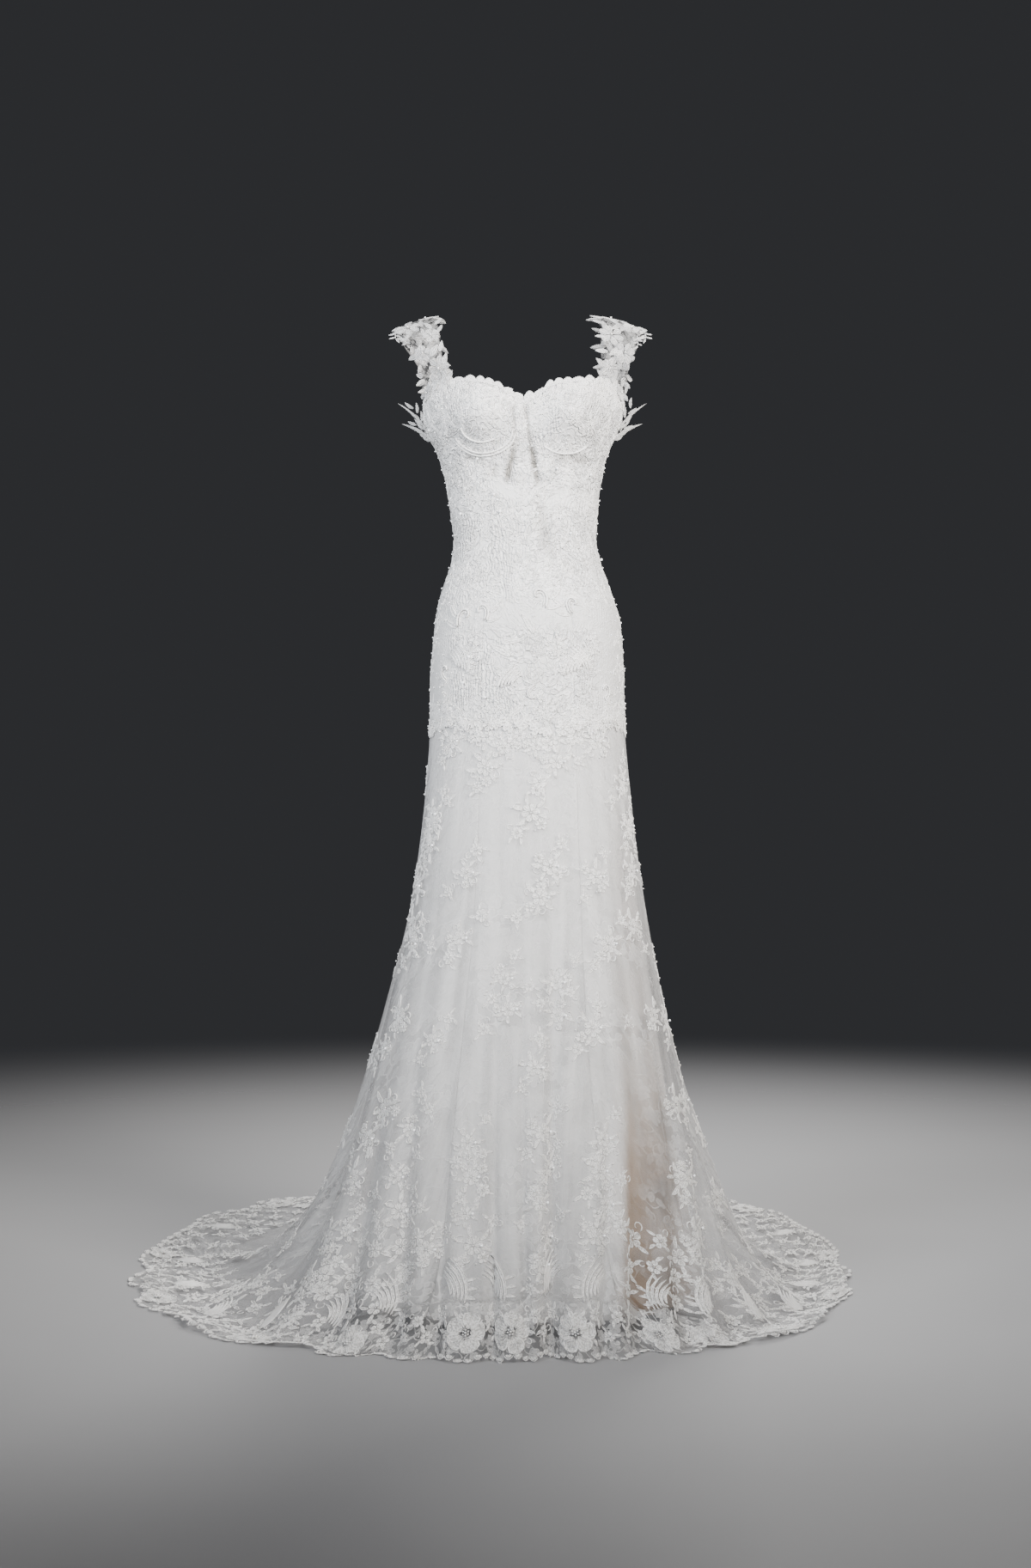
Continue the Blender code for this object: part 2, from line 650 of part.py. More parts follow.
def lining_skirt(finish, collection):
    """The lining, in a front and a back half, from the hip seam to just above the floor."""
    height = np.linspace(LINING[0, 0], LINING[-1, 0], LINING_ROWS + 1)[:, None]
    for name, start, end in (("front", -0.5, 0.5), ("back", 0.5, 1.5)):
        share = seam_trimmed(np.linspace(start, end, LINING_COLUMNS_HALF + 1), WAIST, SKIRT_CLOTH)
        grid = ellipse(math.pi * share[None, :], height, LINING)
        cloth(f"lining_{name}", grid, SKIRT_CLOTH, finish, collection)


def buttons(finish, collection):
    """Covered buttons down the centre back: turned domes on the outer face of the bodice."""
    for number in range(BUTTON_COUNT):
        height = BUTTON_TOP - number * BUTTON_PITCH
        place = np.array(math.pi), np.array(height)
        normal = outward(torso, *place)
        centre = torso(*place) + ((BODICE_CLOTH + BUTTON_RISE) / 2 + BUTTON_SEAT) * normal
        bpy.ops.mesh.primitive_cylinder_add(
            vertices=12, radius=BUTTON_RADIUS, depth=BUTTON_RISE, location=centre
        )
        made = bpy.context.object
        made.rotation_euler = Vector(normal).to_track_quat("Z", "Y").to_euler()
        made.name = f"button_{number + 1:02d}"
        made.data.materials.append(finish)
        bevel = made.modifiers.new("dome", "BEVEL")
        bevel.width = BUTTON_EDGE
        bevel.segments = 1
        move_to(made, collection)


def main():
    for old in list(bpy.data.objects):
        bpy.data.objects.remove(old)
    gown = bpy.data.collections.new("wedding_gown")
    cutters = bpy.data.collections.new("cutters")
    bpy.context.scene.collection.children.link(gown)
    bpy.context.scene.collection.children.link(cutters)
    bodice_lace = material("bodice_lace", IVORY_LACE, 0.75)
    sheer_lace = material("sheer_lace", IVORY_LACE, 0.80)
    lining = material("lining", CHAMPAGNE, 0.45)
    trim = material("lace_trim", IVORY_LACE, 0.70)
    bodice_panels(bodice_lace, gown)
    neck_edging(trim, gown)
    straps(trim, gown, cutters)
    underarm_sprigs(trim, gown)
    lining_skirt(lining, gown)
    overskirt_panels(sheer_lace, gown)
    hem_band(trim, gown)
    buttons(bodice_lace, gown)


main()
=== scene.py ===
"""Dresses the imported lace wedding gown: embroidered bodice panels, appliqued straps, a satin lining, a
net overskirt with garlands, a scalloped hem with beaded flowers, and buttons down the back.

Metres, +Z up, front towards -Y, the wearer's left towards +X. Shapes are worked out with numpy on two
parameters of each cloth, "across" to the wearer's left and "down" the cloth, and laid on its surface.
"""

from functools import cache, partialmethod
from math import cos, pi, radians, sin

import bpy
import numpy as np
from bpy.props import FloatProperty, FloatVectorProperty, IntProperty, PointerProperty
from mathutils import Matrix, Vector


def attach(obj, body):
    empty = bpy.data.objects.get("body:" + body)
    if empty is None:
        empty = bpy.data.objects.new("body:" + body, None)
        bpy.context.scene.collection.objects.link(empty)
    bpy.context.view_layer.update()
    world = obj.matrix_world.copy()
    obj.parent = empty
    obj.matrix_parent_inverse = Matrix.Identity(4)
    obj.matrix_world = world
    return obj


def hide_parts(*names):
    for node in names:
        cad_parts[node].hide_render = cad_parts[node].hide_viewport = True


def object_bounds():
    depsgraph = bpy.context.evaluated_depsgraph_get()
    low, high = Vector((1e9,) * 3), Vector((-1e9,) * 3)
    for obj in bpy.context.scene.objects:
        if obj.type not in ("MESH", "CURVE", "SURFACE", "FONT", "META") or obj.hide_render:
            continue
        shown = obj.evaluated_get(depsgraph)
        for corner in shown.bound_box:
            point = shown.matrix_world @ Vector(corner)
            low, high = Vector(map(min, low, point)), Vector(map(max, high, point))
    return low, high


bl_info = {
    "name": "Lace Wedding Gown",
    "version": (1, 0, 0),
    "blender": (4, 5, 0),
    "location": "3D View > Sidebar > Gown",
    "description": "Dresses the packed gown in satin, net, corded lace, beads and buttons",
    "category": "Object",
}

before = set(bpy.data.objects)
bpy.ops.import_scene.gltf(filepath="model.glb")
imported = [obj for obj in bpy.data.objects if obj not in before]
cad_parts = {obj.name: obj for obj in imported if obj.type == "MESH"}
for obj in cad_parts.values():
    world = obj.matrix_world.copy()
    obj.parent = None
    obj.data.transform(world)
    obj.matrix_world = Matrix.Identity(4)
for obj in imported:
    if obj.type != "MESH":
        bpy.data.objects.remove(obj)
CAD_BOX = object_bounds()
FLOOR = CAD_BOX[0][2] - 0.0005

# The hip seam's height, the depth of the hem band, the gap at a seam, and how far the bodice's lace lies
# over the hip seam in front and behind, with the angles between which that changes
SKIRT_SEAM, HEM_DEPTH, SEAM_GAP = -0.620, 0.090, 0.0003
SEAM_CLEAR, SEAM_CLEAR_BACK, SEAM_CLEAR_TURN = 0.0004, 0.0009, (1.1, 1.9)
SIDES = ((1, "left"), (-1, "right"))

# The wearer's figure, one ellipse for each row: height, half width, depth to the front, depth to the
# back, and a shift to the wearer's left
FIGURE = np.array([
    (-0.060, 0.1500, 0.0800, 0.0780, 0.0000),
    (-0.090, 0.1520, 0.0860, 0.0820, 0.0000),
    (-0.130, 0.1545, 0.0940, 0.0865, -0.0005),
    (-0.160, 0.1500, 0.0980, 0.0880, -0.0025),
    (-0.185, 0.1415, 0.0960, 0.0870, -0.0030),
    (-0.211, 0.1290, 0.0910, 0.0850, -0.0020),
    (-0.240, 0.1210, 0.0860, 0.0820, -0.0015),
    (-0.290, 0.1130, 0.0810, 0.0780, -0.0005),
    (-0.343, 0.1085, 0.0800, 0.0770, 0.0015),
    (-0.370, 0.1120, 0.0820, 0.0810, 0.0025),
    (-0.422, 0.1300, 0.0880, 0.0960, 0.0035),
    (-0.475, 0.1425, 0.0940, 0.1100, 0.0055),
    (-0.554, 0.1480, 0.1000, 0.1190, 0.0050),
    (-0.620, 0.1490, 0.1035, 0.1210, 0.0050),
    (-0.713, 0.1590, 0.1080, 0.1230, 0.0060),
])
WAIST = 0.1085
# Middle, rise and spread of each cup
CUP_X, CUP_HEIGHT, CUP_RISE, CUP_SPREAD = 0.070, -0.160, 0.030, 0.043
CUP_ABOVE, CUP_BELOW = 0.052, 0.040

# The hollow between and under the cups, and creases drawn down from it: x and height of the top end,
# x and height of the bottom end, half width, depth
HOLLOW_HEIGHT, HOLLOW_HALF_WIDTH, HOLLOW_HALF_HEIGHT, HOLLOW_DEPTH = -0.225, 0.024, 0.042, 0.0040
CREASES = (
    (-0.017, -0.147, -0.013, -0.200, 0.0030, 0.0018),
    (-0.013, -0.204, -0.027, -0.262, 0.0050, 0.0030),
    (-0.045, -0.230, -0.047, -0.256, 0.0080, 0.0020),
    (-0.023, -0.236, -0.025, -0.264, 0.0060, 0.0014),
    (0.001, -0.147, 0.008, -0.200, 0.0032, 0.0024),
    (0.008, -0.198, 0.021, -0.268, 0.0050, 0.0036),
    (0.038, -0.224, 0.102, -0.228, 0.0050, 0.0022),
    (-0.092, -0.220, -0.060, -0.224, 0.0070, 0.0022),
    (0.019, -0.281, 0.038, -0.377, 0.0110, 0.0014),
)
# Crease depth at which the painted shade in the gathers is full
SHADED_CREASE = 0.0028

# The bodice's top edge: angle from the centre front in degrees, height
NECKLINE = np.array([
    (0, -0.1420), (8, -0.1355), (15, -0.1225), (26, -0.1155), (42, -0.1115), (58, -0.1100),
    (70, -0.1190), (92, -0.1610), (115, -0.1710), (140, -0.1690), (160, -0.1850), (180, -0.2000),
])
EDGINGS = (("front", 0, 92), ("back", 92, 180))
EDGING_DEPTH, EDGING_WALL, SCALLOP_RISE, SCALLOP_FULLNESS = 0.0045, 0.0010, 0.0065, 0.7

# Bodice panels: name, seam angles from the centre front in degrees, scallops along its top
PANELS = (
    ("front_centre", -28, 28, 10),
    ("front_side", 28, 92, 8),
    ("back_side", 92, 140, 6),
    ("back", 140, 180, 5),
)

# Skirt rings from above the hip seam (ring -1) to the hem (ring 9): height, half width to the
# wearer's right and left, shift, depth to the front and back, squareness, sweep
RINGS = np.array([
    (-0.554, 0.1480, 0.1480, 0.0050, 0.1000, 0.1190, 2.00, 0.00),
    (-0.620, 0.1490, 0.1490, 0.0050, 0.1035, 0.1210, 2.00, 0.00),
    (-0.750, 0.1595, 0.1595, 0.0060, 0.1100, 0.1260, 2.00, 0.05),
    (-0.900, 0.1800, 0.1805, 0.0055, 0.1200, 0.1460, 2.05, 0.15),
    (-1.050, 0.2145, 0.2130, 0.0020, 0.1380, 0.1900, 2.12, 0.30),
    (-1.200, 0.2585, 0.2570, 0.0000, 0.1620, 0.2650, 2.20, 0.48),
    (-1.330, 0.3140, 0.3080, 0.0000, 0.1900, 0.3700, 2.28, 0.66),
    (-1.430, 0.3790, 0.3550, 0.0000, 0.2180, 0.4950, 2.34, 0.80),
    (-1.495, 0.4520, 0.4110, 0.0000, 0.2450, 0.6400, 2.38, 0.90),
    (-1.533, 0.5420, 0.4780, 0.0000, 0.2670, 0.8300, 2.40, 1.00),
    (-1.5342, 0.6620, 0.5540, 0.0000, 0.2680, 1.1150, 2.40, 1.16),
])
FIRST_RING, KNEE_RING, FLOOR_RING, LAST_RING = -1, 2, 8, 9
# How far the columns fan out behind; where the cloth lies on the floor, as ring numbers and as shares
# of the half turn; how high its folds stand there
SWEEP, SWEEP_POWER = 0.62, 2.2
LYING_RINGS, LYING_SHARES = (7.4, 8.6), (0.22, 0.42)
TRAIN_LIFT, GROUND, FLOOR_CLEAR = 0.30, -1.535, 0.0008

# Folds of the overskirt: place at the knee, place at the hem, how far it draws the hem in, spread,
# first ring. Places are shares of the half turn from centre front (0) to centre back (1), minus to
# the wearer's right.
FOLDS = (
    (-1.000, -1.000, 0.040, 0.060, 2.5), (-0.800, -0.780, 0.034, 0.050, 3.0),
    (-0.650, -0.610, 0.032, 0.046, 3.0), (-0.520, -0.465, 0.034, 0.036, 3.0),
    (-0.430, -0.345, 0.034, 0.030, 3.0), (-0.340, -0.248, 0.030, 0.024, 2.5),
    (-0.240, -0.176, 0.020, 0.018, 2.5), (-0.100, -0.070, 0.018, 0.016, 2.0),
    (-0.012, 0.006, 0.012, 0.014, 1.5), (0.100, 0.058, 0.036, 0.024, 1.0),
    (0.270, 0.156, 0.018, 0.016, 2.5), (0.360, 0.226, 0.046, 0.029, 2.0),
    (0.450, 0.300, 0.034, 0.026, 3.0), (0.520, 0.380, 0.034, 0.032, 3.0),
    (0.570, 0.470, 0.034, 0.036, 3.0), (0.680, 0.610, 0.032, 0.046, 3.0),
    (0.800, 0.780, 0.034, 0.050, 3.0), (1.000, 1.000, 0.040, 0.060, 2.5),
)

# Overskirt panels: name, from and to place round the skirt, lobes along its hem
SKIRT_PANELS = (
    ("front", -0.202, 0.200, 14),
    ("side_left", 0.200, 0.490, 12),
    ("side_right", -0.490, -0.202, 10),
    ("back_left", 0.490, 1.000, 16),
    ("back_right", -1.000, -0.490, 16),
)
# The ring where the folds are full, and how far the hem draws up between its lobes and back between
# its waves on the floor
FOLDED_RING = 7.0
LOBE_RISE, SMALL_LOBE_RISE = 0.013, 0.005
BAY_WIDTH, BAY_DEPTH = 0.150, 0.032

# Lining skirt, with the same columns as the figure
LINING = np.array([
    (-0.6204, 0.1470, 0.1015, 0.1190, 0.0050),
    (-0.750, 0.1540, 0.1050, 0.1210, 0.0050),
    (-0.900, 0.1690, 0.1080, 0.1300, 0.0050),
    (-1.050, 0.1930, 0.1150, 0.1500, 0.0030),
    (-1.200, 0.2200, 0.1260, 0.1800, 0.0000),
    (-1.330, 0.2460, 0.1400, 0.2150, -0.0010),
    (-1.430, 0.2660, 0.1520, 0.2450, -0.0010),
    (-1.505, 0.2800, 0.1600, 0.2650, -0.0010),
])
LINING_FOLDS, LINING_FOLD_DEPTH, LINING_DRAW, LINING_FOLDED = 22, 0.0050, 0.004, (0.80, 1.45)

# Shoulder strap where it runs clear of the bodice, front to back: x, y, z, width, aft and drop
STRAP = (
    (0.1420, -0.0600, -0.0700, 0.040, 0.45, 0.10),
    (0.1480, -0.0500, -0.0430, 0.050, 0.30, 0.15),
    (0.1570, -0.0280, -0.0170, 0.066, 0.12, 0.25),
    (0.1600, 0.0000, -0.0095, 0.072, 0.00, 0.30),
    (0.1570, 0.0280, -0.0190, 0.064, -0.12, 0.25),
    (0.1480, 0.0500, -0.0480, 0.048, -0.30, 0.15),
    (0.1380, 0.0660, -0.0880, 0.040, -0.45, 0.08),
    (0.1280, 0.0760, -0.1280, 0.042, -0.55, 0.05),
)
# Angles of its ends on the bodice, from inner to outer edge, then how far they reach below the neck,
# where they clear it, how far off the cloth they lie, and how the strap is crowned and leans
STRAP_FRONT_BASE_DEG, STRAP_BACK_BASE_DEG = (46, 78), (148, 124)
STRAP_OVERLAP, STRAP_CLEAR, STRAP_LAY, STRAP_CROWN = 0.014, 0.006, 0.0032, 0.003
STRAP_TURN, STRAP_WALL, SHOULDER_LEAN = 0.04, 0.0008, 0.14
# Lace on the straps: how many flowers and edge leaves, where across they stand in turn, and twigs as
# place down the strap, lean and size
STRAP_FLOWERS, STRAP_EDGE_LEAVES = 14, 15
STRAP_FLOWER_PLACES, STRAP_LEAF_PLACES = (-0.26, 0.22), ((-0.36, 0.02), (-0.10, 0.30))
STRAP_TWIGS = ((0.60, 2.7, 0.6), (0.66, 2.1, 0.75), (0.72, 2.3, 0.6))
STRAP_SCALLOPS, STRAP_SCALLOP, STRAP_SCALLOP_MIDDLE, STRAP_SCALLOP_START = 6, 0.14, 0.6, 0.02

# Underarm leaves: foot angle in degrees, foot height, how far the tip stands to the side, back and up,
# and width
SPRIG_LEAVES = (
    (97, -0.1700, 0.034, 0.010, 0.060, 0.013),
    (104, -0.1850, 0.042, 0.012, 0.046, 0.018),
)
# Leaflets along each: share of its length, and side
SPRIG_LEAFLETS = ((0.02, 1), (0.06, -1), (0.14, 1), (0.22, -1), (0.32, 1), (0.44, -1), (0.58, 1))

# Flowers on the hem lace: place round the skirt, distance up from the hem, radius
HEM_FLOWERS = (
    (-0.860, 0.045, 0.036), (-0.700, 0.045, 0.036), (-0.560, 0.045, 0.036), (-0.405, 0.045, 0.034),
    (-0.300, 0.045, 0.030), (-0.123, 0.045, 0.032), (-0.032, 0.045, 0.032), (0.107, 0.045, 0.032),
    (0.258, 0.045, 0.030), (0.328, 0.045, 0.030), (0.420, 0.045, 0.034), (0.560, 0.045, 0.036),
    (0.700, 0.045, 0.036), (0.860, 0.045, 0.036),
)
# Nominal sizes of the hem's flowers and shells and of the edging's shells, and the ring numbers where
# widths are measured for the hem, its sprays and the train's sprays
BLOSSOM, HEM_SHELL, SHELL_WIDTH = 0.034, 0.024, 0.0145
HEM_RING, SPRAY_RING, TRAIN_RING = 8.6, 8.3, 7.6

BUTTON_COUNT, BUTTON_PITCH, BUTTON_TOP, BUTTON_RADIUS = 10, 0.030, -0.218, 0.0055
BUTTON_RISE, LOOP_WIDTH, LOOP_HEIGHT = 0.0046, 0.0085, 0.0052
# The placket's cords: their top, middle and foot as depths, and how far each is from the centre back
PLACKET, PLACKET_HALF_WIDTH = (0.208, 0.358, 0.508), 0.011

# Fineness of the cloth grids: columns a radian or a lobe, and rows; and the net's top as a ring number
BODICE_COLUMNS, BODICE_ROWS = 56, 92
NET_COLUMNS_A_LOBE, NET_ROWS, NET_TOP = 6, 70, -0.05

# Camera, floor and lights: name, place, aim, width, spread in degrees, watts, colour
CAMERA_PLACE = (-0.0132, -3.346, -0.715)
CAMERA_LENS, CAMERA_SENSOR = 50.0, 36.0
FLOOR_FADE = (1.6, 4.2)
LIGHTS = (
    ("key", (1.30, -1.95, 0.45), (0.0, 0.0, -0.28), 1.0, 66, 27.5, (1.0, 0.965, 0.92)),
    ("fill", (-1.35, -1.90, 0.35), (0.0, 0.0, -0.32), 1.1, 66, 16.5, (0.91, 0.95, 1.0)),
    ("top", (0.0, 0.9, 2.0), (0.0, 0.3, -1.0), 1.6, 180, 30.0, (1.0, 1.0, 1.0)),
    ("back", (0.8, 3.0, 0.9), (0.0, 0.2, -0.8), 1.8, 180, 120.0, (1.0, 0.98, 0.95)),
)

# Places below are x and height as seen from the front, in the plane Y = 0.
# Patches of the bodice that stay plain: x, height, radius
PLAIN_PATCHES = ((-0.040, -0.385, 0.030), (0.095, -0.400, 0.024), (-0.085, -0.345, 0.016))
# Depths where the small sprays end, in front (within FRONT_TURN of the centre front) and elsewhere, and
# down to which places are looked for; how far sprays keep from the neck and, as an angle, the buttons
SPRAYS_END, SPRAYS_FOOT, BODICE_FOOT, FRONT_TURN = 0.430, -SKIRT_SEAM - 0.008, 0.618, 1.2
NECK_CLEAR, BUTTONS_CLEAR = 0.013, 0.11
# Heights between which the close lace sets in, and how many motifs hang at and lie along the hip seam
WORKED_FROM = (-0.47, -0.39)
HIP_DROPS, HIP_SHELLS = 30, 110

# Lace over the hips: kind, x, height, size, turn in degrees, and which way it curls
HIP_SCROLLS = (
    ("hook", -0.100, -0.480, 1.1, 15, -1), ("hook", -0.060, -0.470, 1.0, -20, 1),
    ("plume", -0.085, -0.545, 0.9, 20, 1), ("flower", -0.080, -0.515, 0.9, 0, 1),
    ("hook", -0.115, -0.560, 0.9, 60, -1), ("flower", -0.120, -0.590, 0.9, 30, 1),
    ("plume", -0.040, -0.570, 0.8, -30, -1), ("leaf", -0.020, -0.520, 1.1, 40, 1),
    ("leaf", -0.035, -0.500, 1.0, -60, -1), ("flower", -0.045, -0.605, 1.0, 10, 1),
    ("hook", 0.030, -0.450, 1.1, -25, 1), ("hook", 0.075, -0.460, 1.0, 30, -1),
    ("plume", 0.060, -0.550, 0.9, -25, -1), ("flower", 0.050, -0.500, 1.0, 20, 1),
    ("hook", 0.020, -0.560, 0.8, 120, 1), ("plume", 0.100, -0.540, 0.8, 30, 1),
    ("flower", 0.105, -0.500, 0.9, 0, 1), ("leaf", 0.080, -0.590, 1.1, 200, 1),
    ("hook", 0.120, -0.590, 0.9, -50, 1), ("flower", 0.030, -0.600, 1.0, 40, 1),
    ("leaf", 0.000, -0.590, 1.0, 150, -1), ("leaf", 0.015, -0.485, 1.1, 10, 1),
)

# Cords that bow under the cups: side, radius about the cup's middle, half the sweep in degrees, and
# its middle
CUP_CORDS = ((-1, 0.050, 74, -6), (-1, 0.0545, 68, -6), (-1, 0.032, 60, 24), (1, 0.051, 44, 4))

# Crystals: x and height
SPARKLES = (
    (-0.046, -0.270), (-0.036, -0.296), (0.116, -0.371), (-0.083, -0.520), (-0.092, -0.560), (-0.059, -0.582),
    (0.020, -0.300), (0.070, -0.330), (-0.095, -0.300), (0.050, -0.230), (-0.070, -0.215), (0.100, -0.240),
)

# Garlands on the front of the overskirt: x and height of each flower
GARLANDS = (
    (-0.110, -0.650), (-0.060, -0.690), (0.110, -0.650), (0.150, -0.710), (-0.140, -0.760), (0.050, -0.680),
    (0.010, -0.760), (0.040, -0.840), (0.025, -0.890), (-0.030, -1.015), (-0.024, -1.060), (0.050, -1.020),
    (0.052, -1.070), (0.015, -1.150), (0.110, -0.858), (0.160, -0.780), (0.165, -0.850), (0.130, -0.960),
    (0.222, -1.080), (-0.145, -0.810), (-0.162, -0.870), (-0.170, -0.960), (-0.098, -0.950), (-0.088, -0.850),
    (-0.215, -1.120), (-0.140, -1.110), (0.105, -1.090), (0.255, -1.200), (-0.175, -1.247), (-0.198, -1.320),
    (-0.190, -1.370), (-0.086, -1.265), (-0.082, -1.320), (-0.090, -1.375), (-0.078, -1.425), (0.030, -1.250),
    (0.038, -1.305), (0.024, -1.360), (0.036, -1.410), (0.028, -1.455), (0.122, -1.260), (0.116, -1.310),
    (0.126, -1.360), (0.110, -1.410), (0.255, -1.320), (0.268, -1.400), (-0.270, -1.400), (-0.150, -1.430),
    (-0.240, -1.260), (-0.290, -1.450),
)
# Garlands down the sides and back: places round the skirt, and ring numbers of their flowers
SIDE_GARLANDS = (
    ((-0.42, 0.42), (1.2, 2.2, 3.1, 4.0, 4.8, 5.6, 6.4, 7.1)),
    ((-0.56, 0.56), (0.7, 1.7, 2.6, 3.5, 4.4, 5.2, 6.0, 6.7, 7.4)),
    ((-0.72, 0.72), (1.2, 2.2, 3.1, 4.0, 4.8, 5.6, 6.3, 7.0, 7.7)),
    ((-0.88, 0.88), (0.6, 1.6, 2.6, 3.5, 4.4, 5.2, 5.9, 6.6, 7.3, 8.0)),
)
# Places round the skirt of the train's feathers, the same on both sides
PLUMES = (0.05, 0.135, 0.27, 0.345, 0.43, 0.51, 0.60, 0.69, 0.78, 0.87, 0.95)
# Where the satin turns champagne towards the left, and how strongly it does behind; the strip of it
# that shows in front, in full champagne that is partly painted shade of a fold, as the edges seen and
# the depths where it sets in; a fold's draw where the painted fold shade is full
CHAMPAGNE_FROM, BACK_CHAMPAGNE = (0.12, 0.15), 0.5
SHADED_CHAMPAGNE_STRIP, STRIP_FROM = (0.146, 0.162, 0.180, 0.270), (0.95, 1.33)
DEEP_FOLD = 0.036


def stacked(*parts):
    """Arrays as the last axis of one array, each first spread to the shape of all."""
    return np.stack(np.broadcast_arrays(*parts), axis=-1)


def unit(vectors):
    """The same vectors at length 1."""
    return vectors / np.maximum(np.linalg.norm(vectors, axis=-1, keepdims=True), 1e-12)


def strides(points, axis):
    """Distances between neighbours along one axis of an array of points."""
    return np.linalg.norm(np.diff(points, axis=axis), axis=-1)


def hermite(t, here, slope, there, slope_there):
    """Cubic from here to there as t goes from 0 to 1, with these slopes at its ends."""
    return (
        here * (1 + 2 * t) * (1 - t) ** 2
        + slope * t * (1 - t) ** 2
        + there * t * t * (3 - 2 * t)
        + slope_there * t * t * (t - 1)
    )


def smooth(at, xs, ys):
    """Monotone cubic through (xs, ys), xs rising: its slopes are harmonic means of its neighbours'."""
    step = np.diff(xs)
    rise = np.diff(ys) / step
    slope = np.concatenate([rise[:1], np.zeros(len(xs) - 2), rise[-1:]])
    same = rise[:-1] * rise[1:] > 0
    total = np.where(same, rise[:-1] + rise[1:], 1.0)
    slope[1:-1] = np.where(same, 2 * rise[:-1] * rise[1:] / total, 0.0)
    i = np.clip(np.searchsorted(xs, at) - 1, 0, len(step) - 1)
    return hermite((at - xs[i]) / step[i], ys[i], slope[i] * step[i], ys[i + 1], slope[i + 1] * step[i])


def ramp(value, low, high):
    """0 below low, 1 above high, and t*t*(3 - 2t) between."""
    t = np.clip((value - low) / (high - low), 0, 1)
    return t * t * (3 - 2 * t)


def ellipse(angle, height, table):
    """x = shift + half width * sin(angle), y = (back - front)/2 - (back + front)/2 * cos(angle)."""
    wide, front, back, shift = (smooth(-height, -table[:, 0], table[:, k]) for k in range(1, 5))
    x = shift + wide * np.sin(angle)
    y = (back - front) / 2 - (back + front) / 2 * np.cos(angle)
    return stacked(x, y, height)


def gathers(x, z):
    """Depth of the creases: each drawn line adds depth * exp(-(distance/width)^2 - (2.2 (t - 1/2))^4)."""
    total = 0 * x
    for x0, z0, x1, z1, width, deep in CREASES:
        run = np.hypot(x1 - x0, z1 - z0)
        t = ((x - x0) * (x1 - x0) + (z - z0) * (z1 - z0)) / run**2
        off = ((x - x0) * (z1 - z0) - (z - z0) * (x1 - x0)) / run
        total = total + deep * np.exp(-((off / width) ** 2) - (2.2 * (t - 0.5)) ** 4)
    return total


def bodice(angle, depth):
    """The figure's ellipse at this depth, less CUP_RISE * exp(-across^2 - along^2) in y for each cup,
    plus the hollow under them and the creases."""
    points = ellipse(angle, -depth, FIGURE)
    front = np.clip(2 * np.cos(angle), 0, 1)
    x, z = points[..., 0], points[..., 2]
    across = (np.abs(x) - CUP_X) / CUP_SPREAD
    above = z - CUP_HEIGHT
    along = above / np.where(above > 0, CUP_ABOVE, CUP_BELOW)
    y = points[..., 1] - CUP_RISE * np.exp(-(across**2) - along**2) * front
    down = (z - HOLLOW_HEIGHT) / HOLLOW_HALF_HEIGHT
    y = y + HOLLOW_DEPTH * np.exp(-((x / HOLLOW_HALF_WIDTH) ** 2) - down**2) * front
    return stacked(x, y + gathers(x, z) * front, z)


def neckline(angle):
    """Height of the bodice's top edge at an angle, in radians, from the centre front."""
    return smooth(np.degrees(np.abs(angle)), NECKLINE[:, 0], NECKLINE[:, 1])


def fold_draw(share, level):
    """Sum over the folds of draw * growth * exp(-((share - place)/spread)^2)."""
    knee_to_hem = ramp(level, KNEE_RING, FLOOR_RING)
    draw = 0 * share
    for at_knee, at_hem, depth, spread, first_ring in FOLDS:
        place = at_knee + (at_hem - at_knee) * knee_to_hem
        grow = ramp(level, first_ring, FLOOR_RING)
        draw = draw + depth * grow * np.exp(-(((share - place) / spread) ** 2))
    return draw


def overskirt(share, level):
    """Superellipse rings r = (|cos/deep|^n + |sin/wide|^n)^(-1/n), less the folds' draw, which turns
    into a low lift where the train lies on the floor."""
    share, level = np.broadcast_arrays(share, level)
    numbers = np.arange(len(RINGS)) + FIRST_RING
    height, on_right, on_left, shift, front, back, square, sweep = (
        smooth(level, numbers, RINGS[:, k]) for k in range(8)
    )
    turn = np.abs(share)
    fanned = SWEEP * sweep
    angle = pi * np.sign(share) * ((1 - fanned) * turn + fanned * turn**SWEEP_POWER)
    wide, deep = np.where(share < 0, on_right, on_left), (front + back) / 2
    ratios = np.abs(np.cos(angle) / deep) ** square + np.abs(np.sin(angle) / wide) ** square
    reach = ratios ** (-1 / square)
    draw = fold_draw(share, level)
    lying = ramp(level, *LYING_RINGS) * ramp(turn, *LYING_SHARES)
    reach = reach - draw * (1 - lying)
    lift = draw * lying * TRAIN_LIFT * (1 - ramp(level, LYING_RINGS[1], LAST_RING))
    x = shift + reach * np.sin(angle)
    y = (back - front) / 2 - reach * np.cos(angle)
    z = np.maximum(height + lift, GROUND + FLOOR_CLEAR)
    return stacked(x, y, z)


def lining(share, depth):
    """The lining's ellipse at this depth, with soft folds depth * cos(n * angle) that grow downwards."""
    angle = pi * share
    points = ellipse(angle, -depth, LINING)
    grow = ramp(depth, *LINING_FOLDED)
    wave = np.cos(LINING_FOLDS * angle + 2.5 * np.sin(3 * angle))
    fold = LINING_FOLD_DEPTH * grow * wave - LINING_DRAW * grow
    points[..., 0] += fold * np.sin(angle)
    points[..., 1] -= fold * np.cos(angle)
    return points


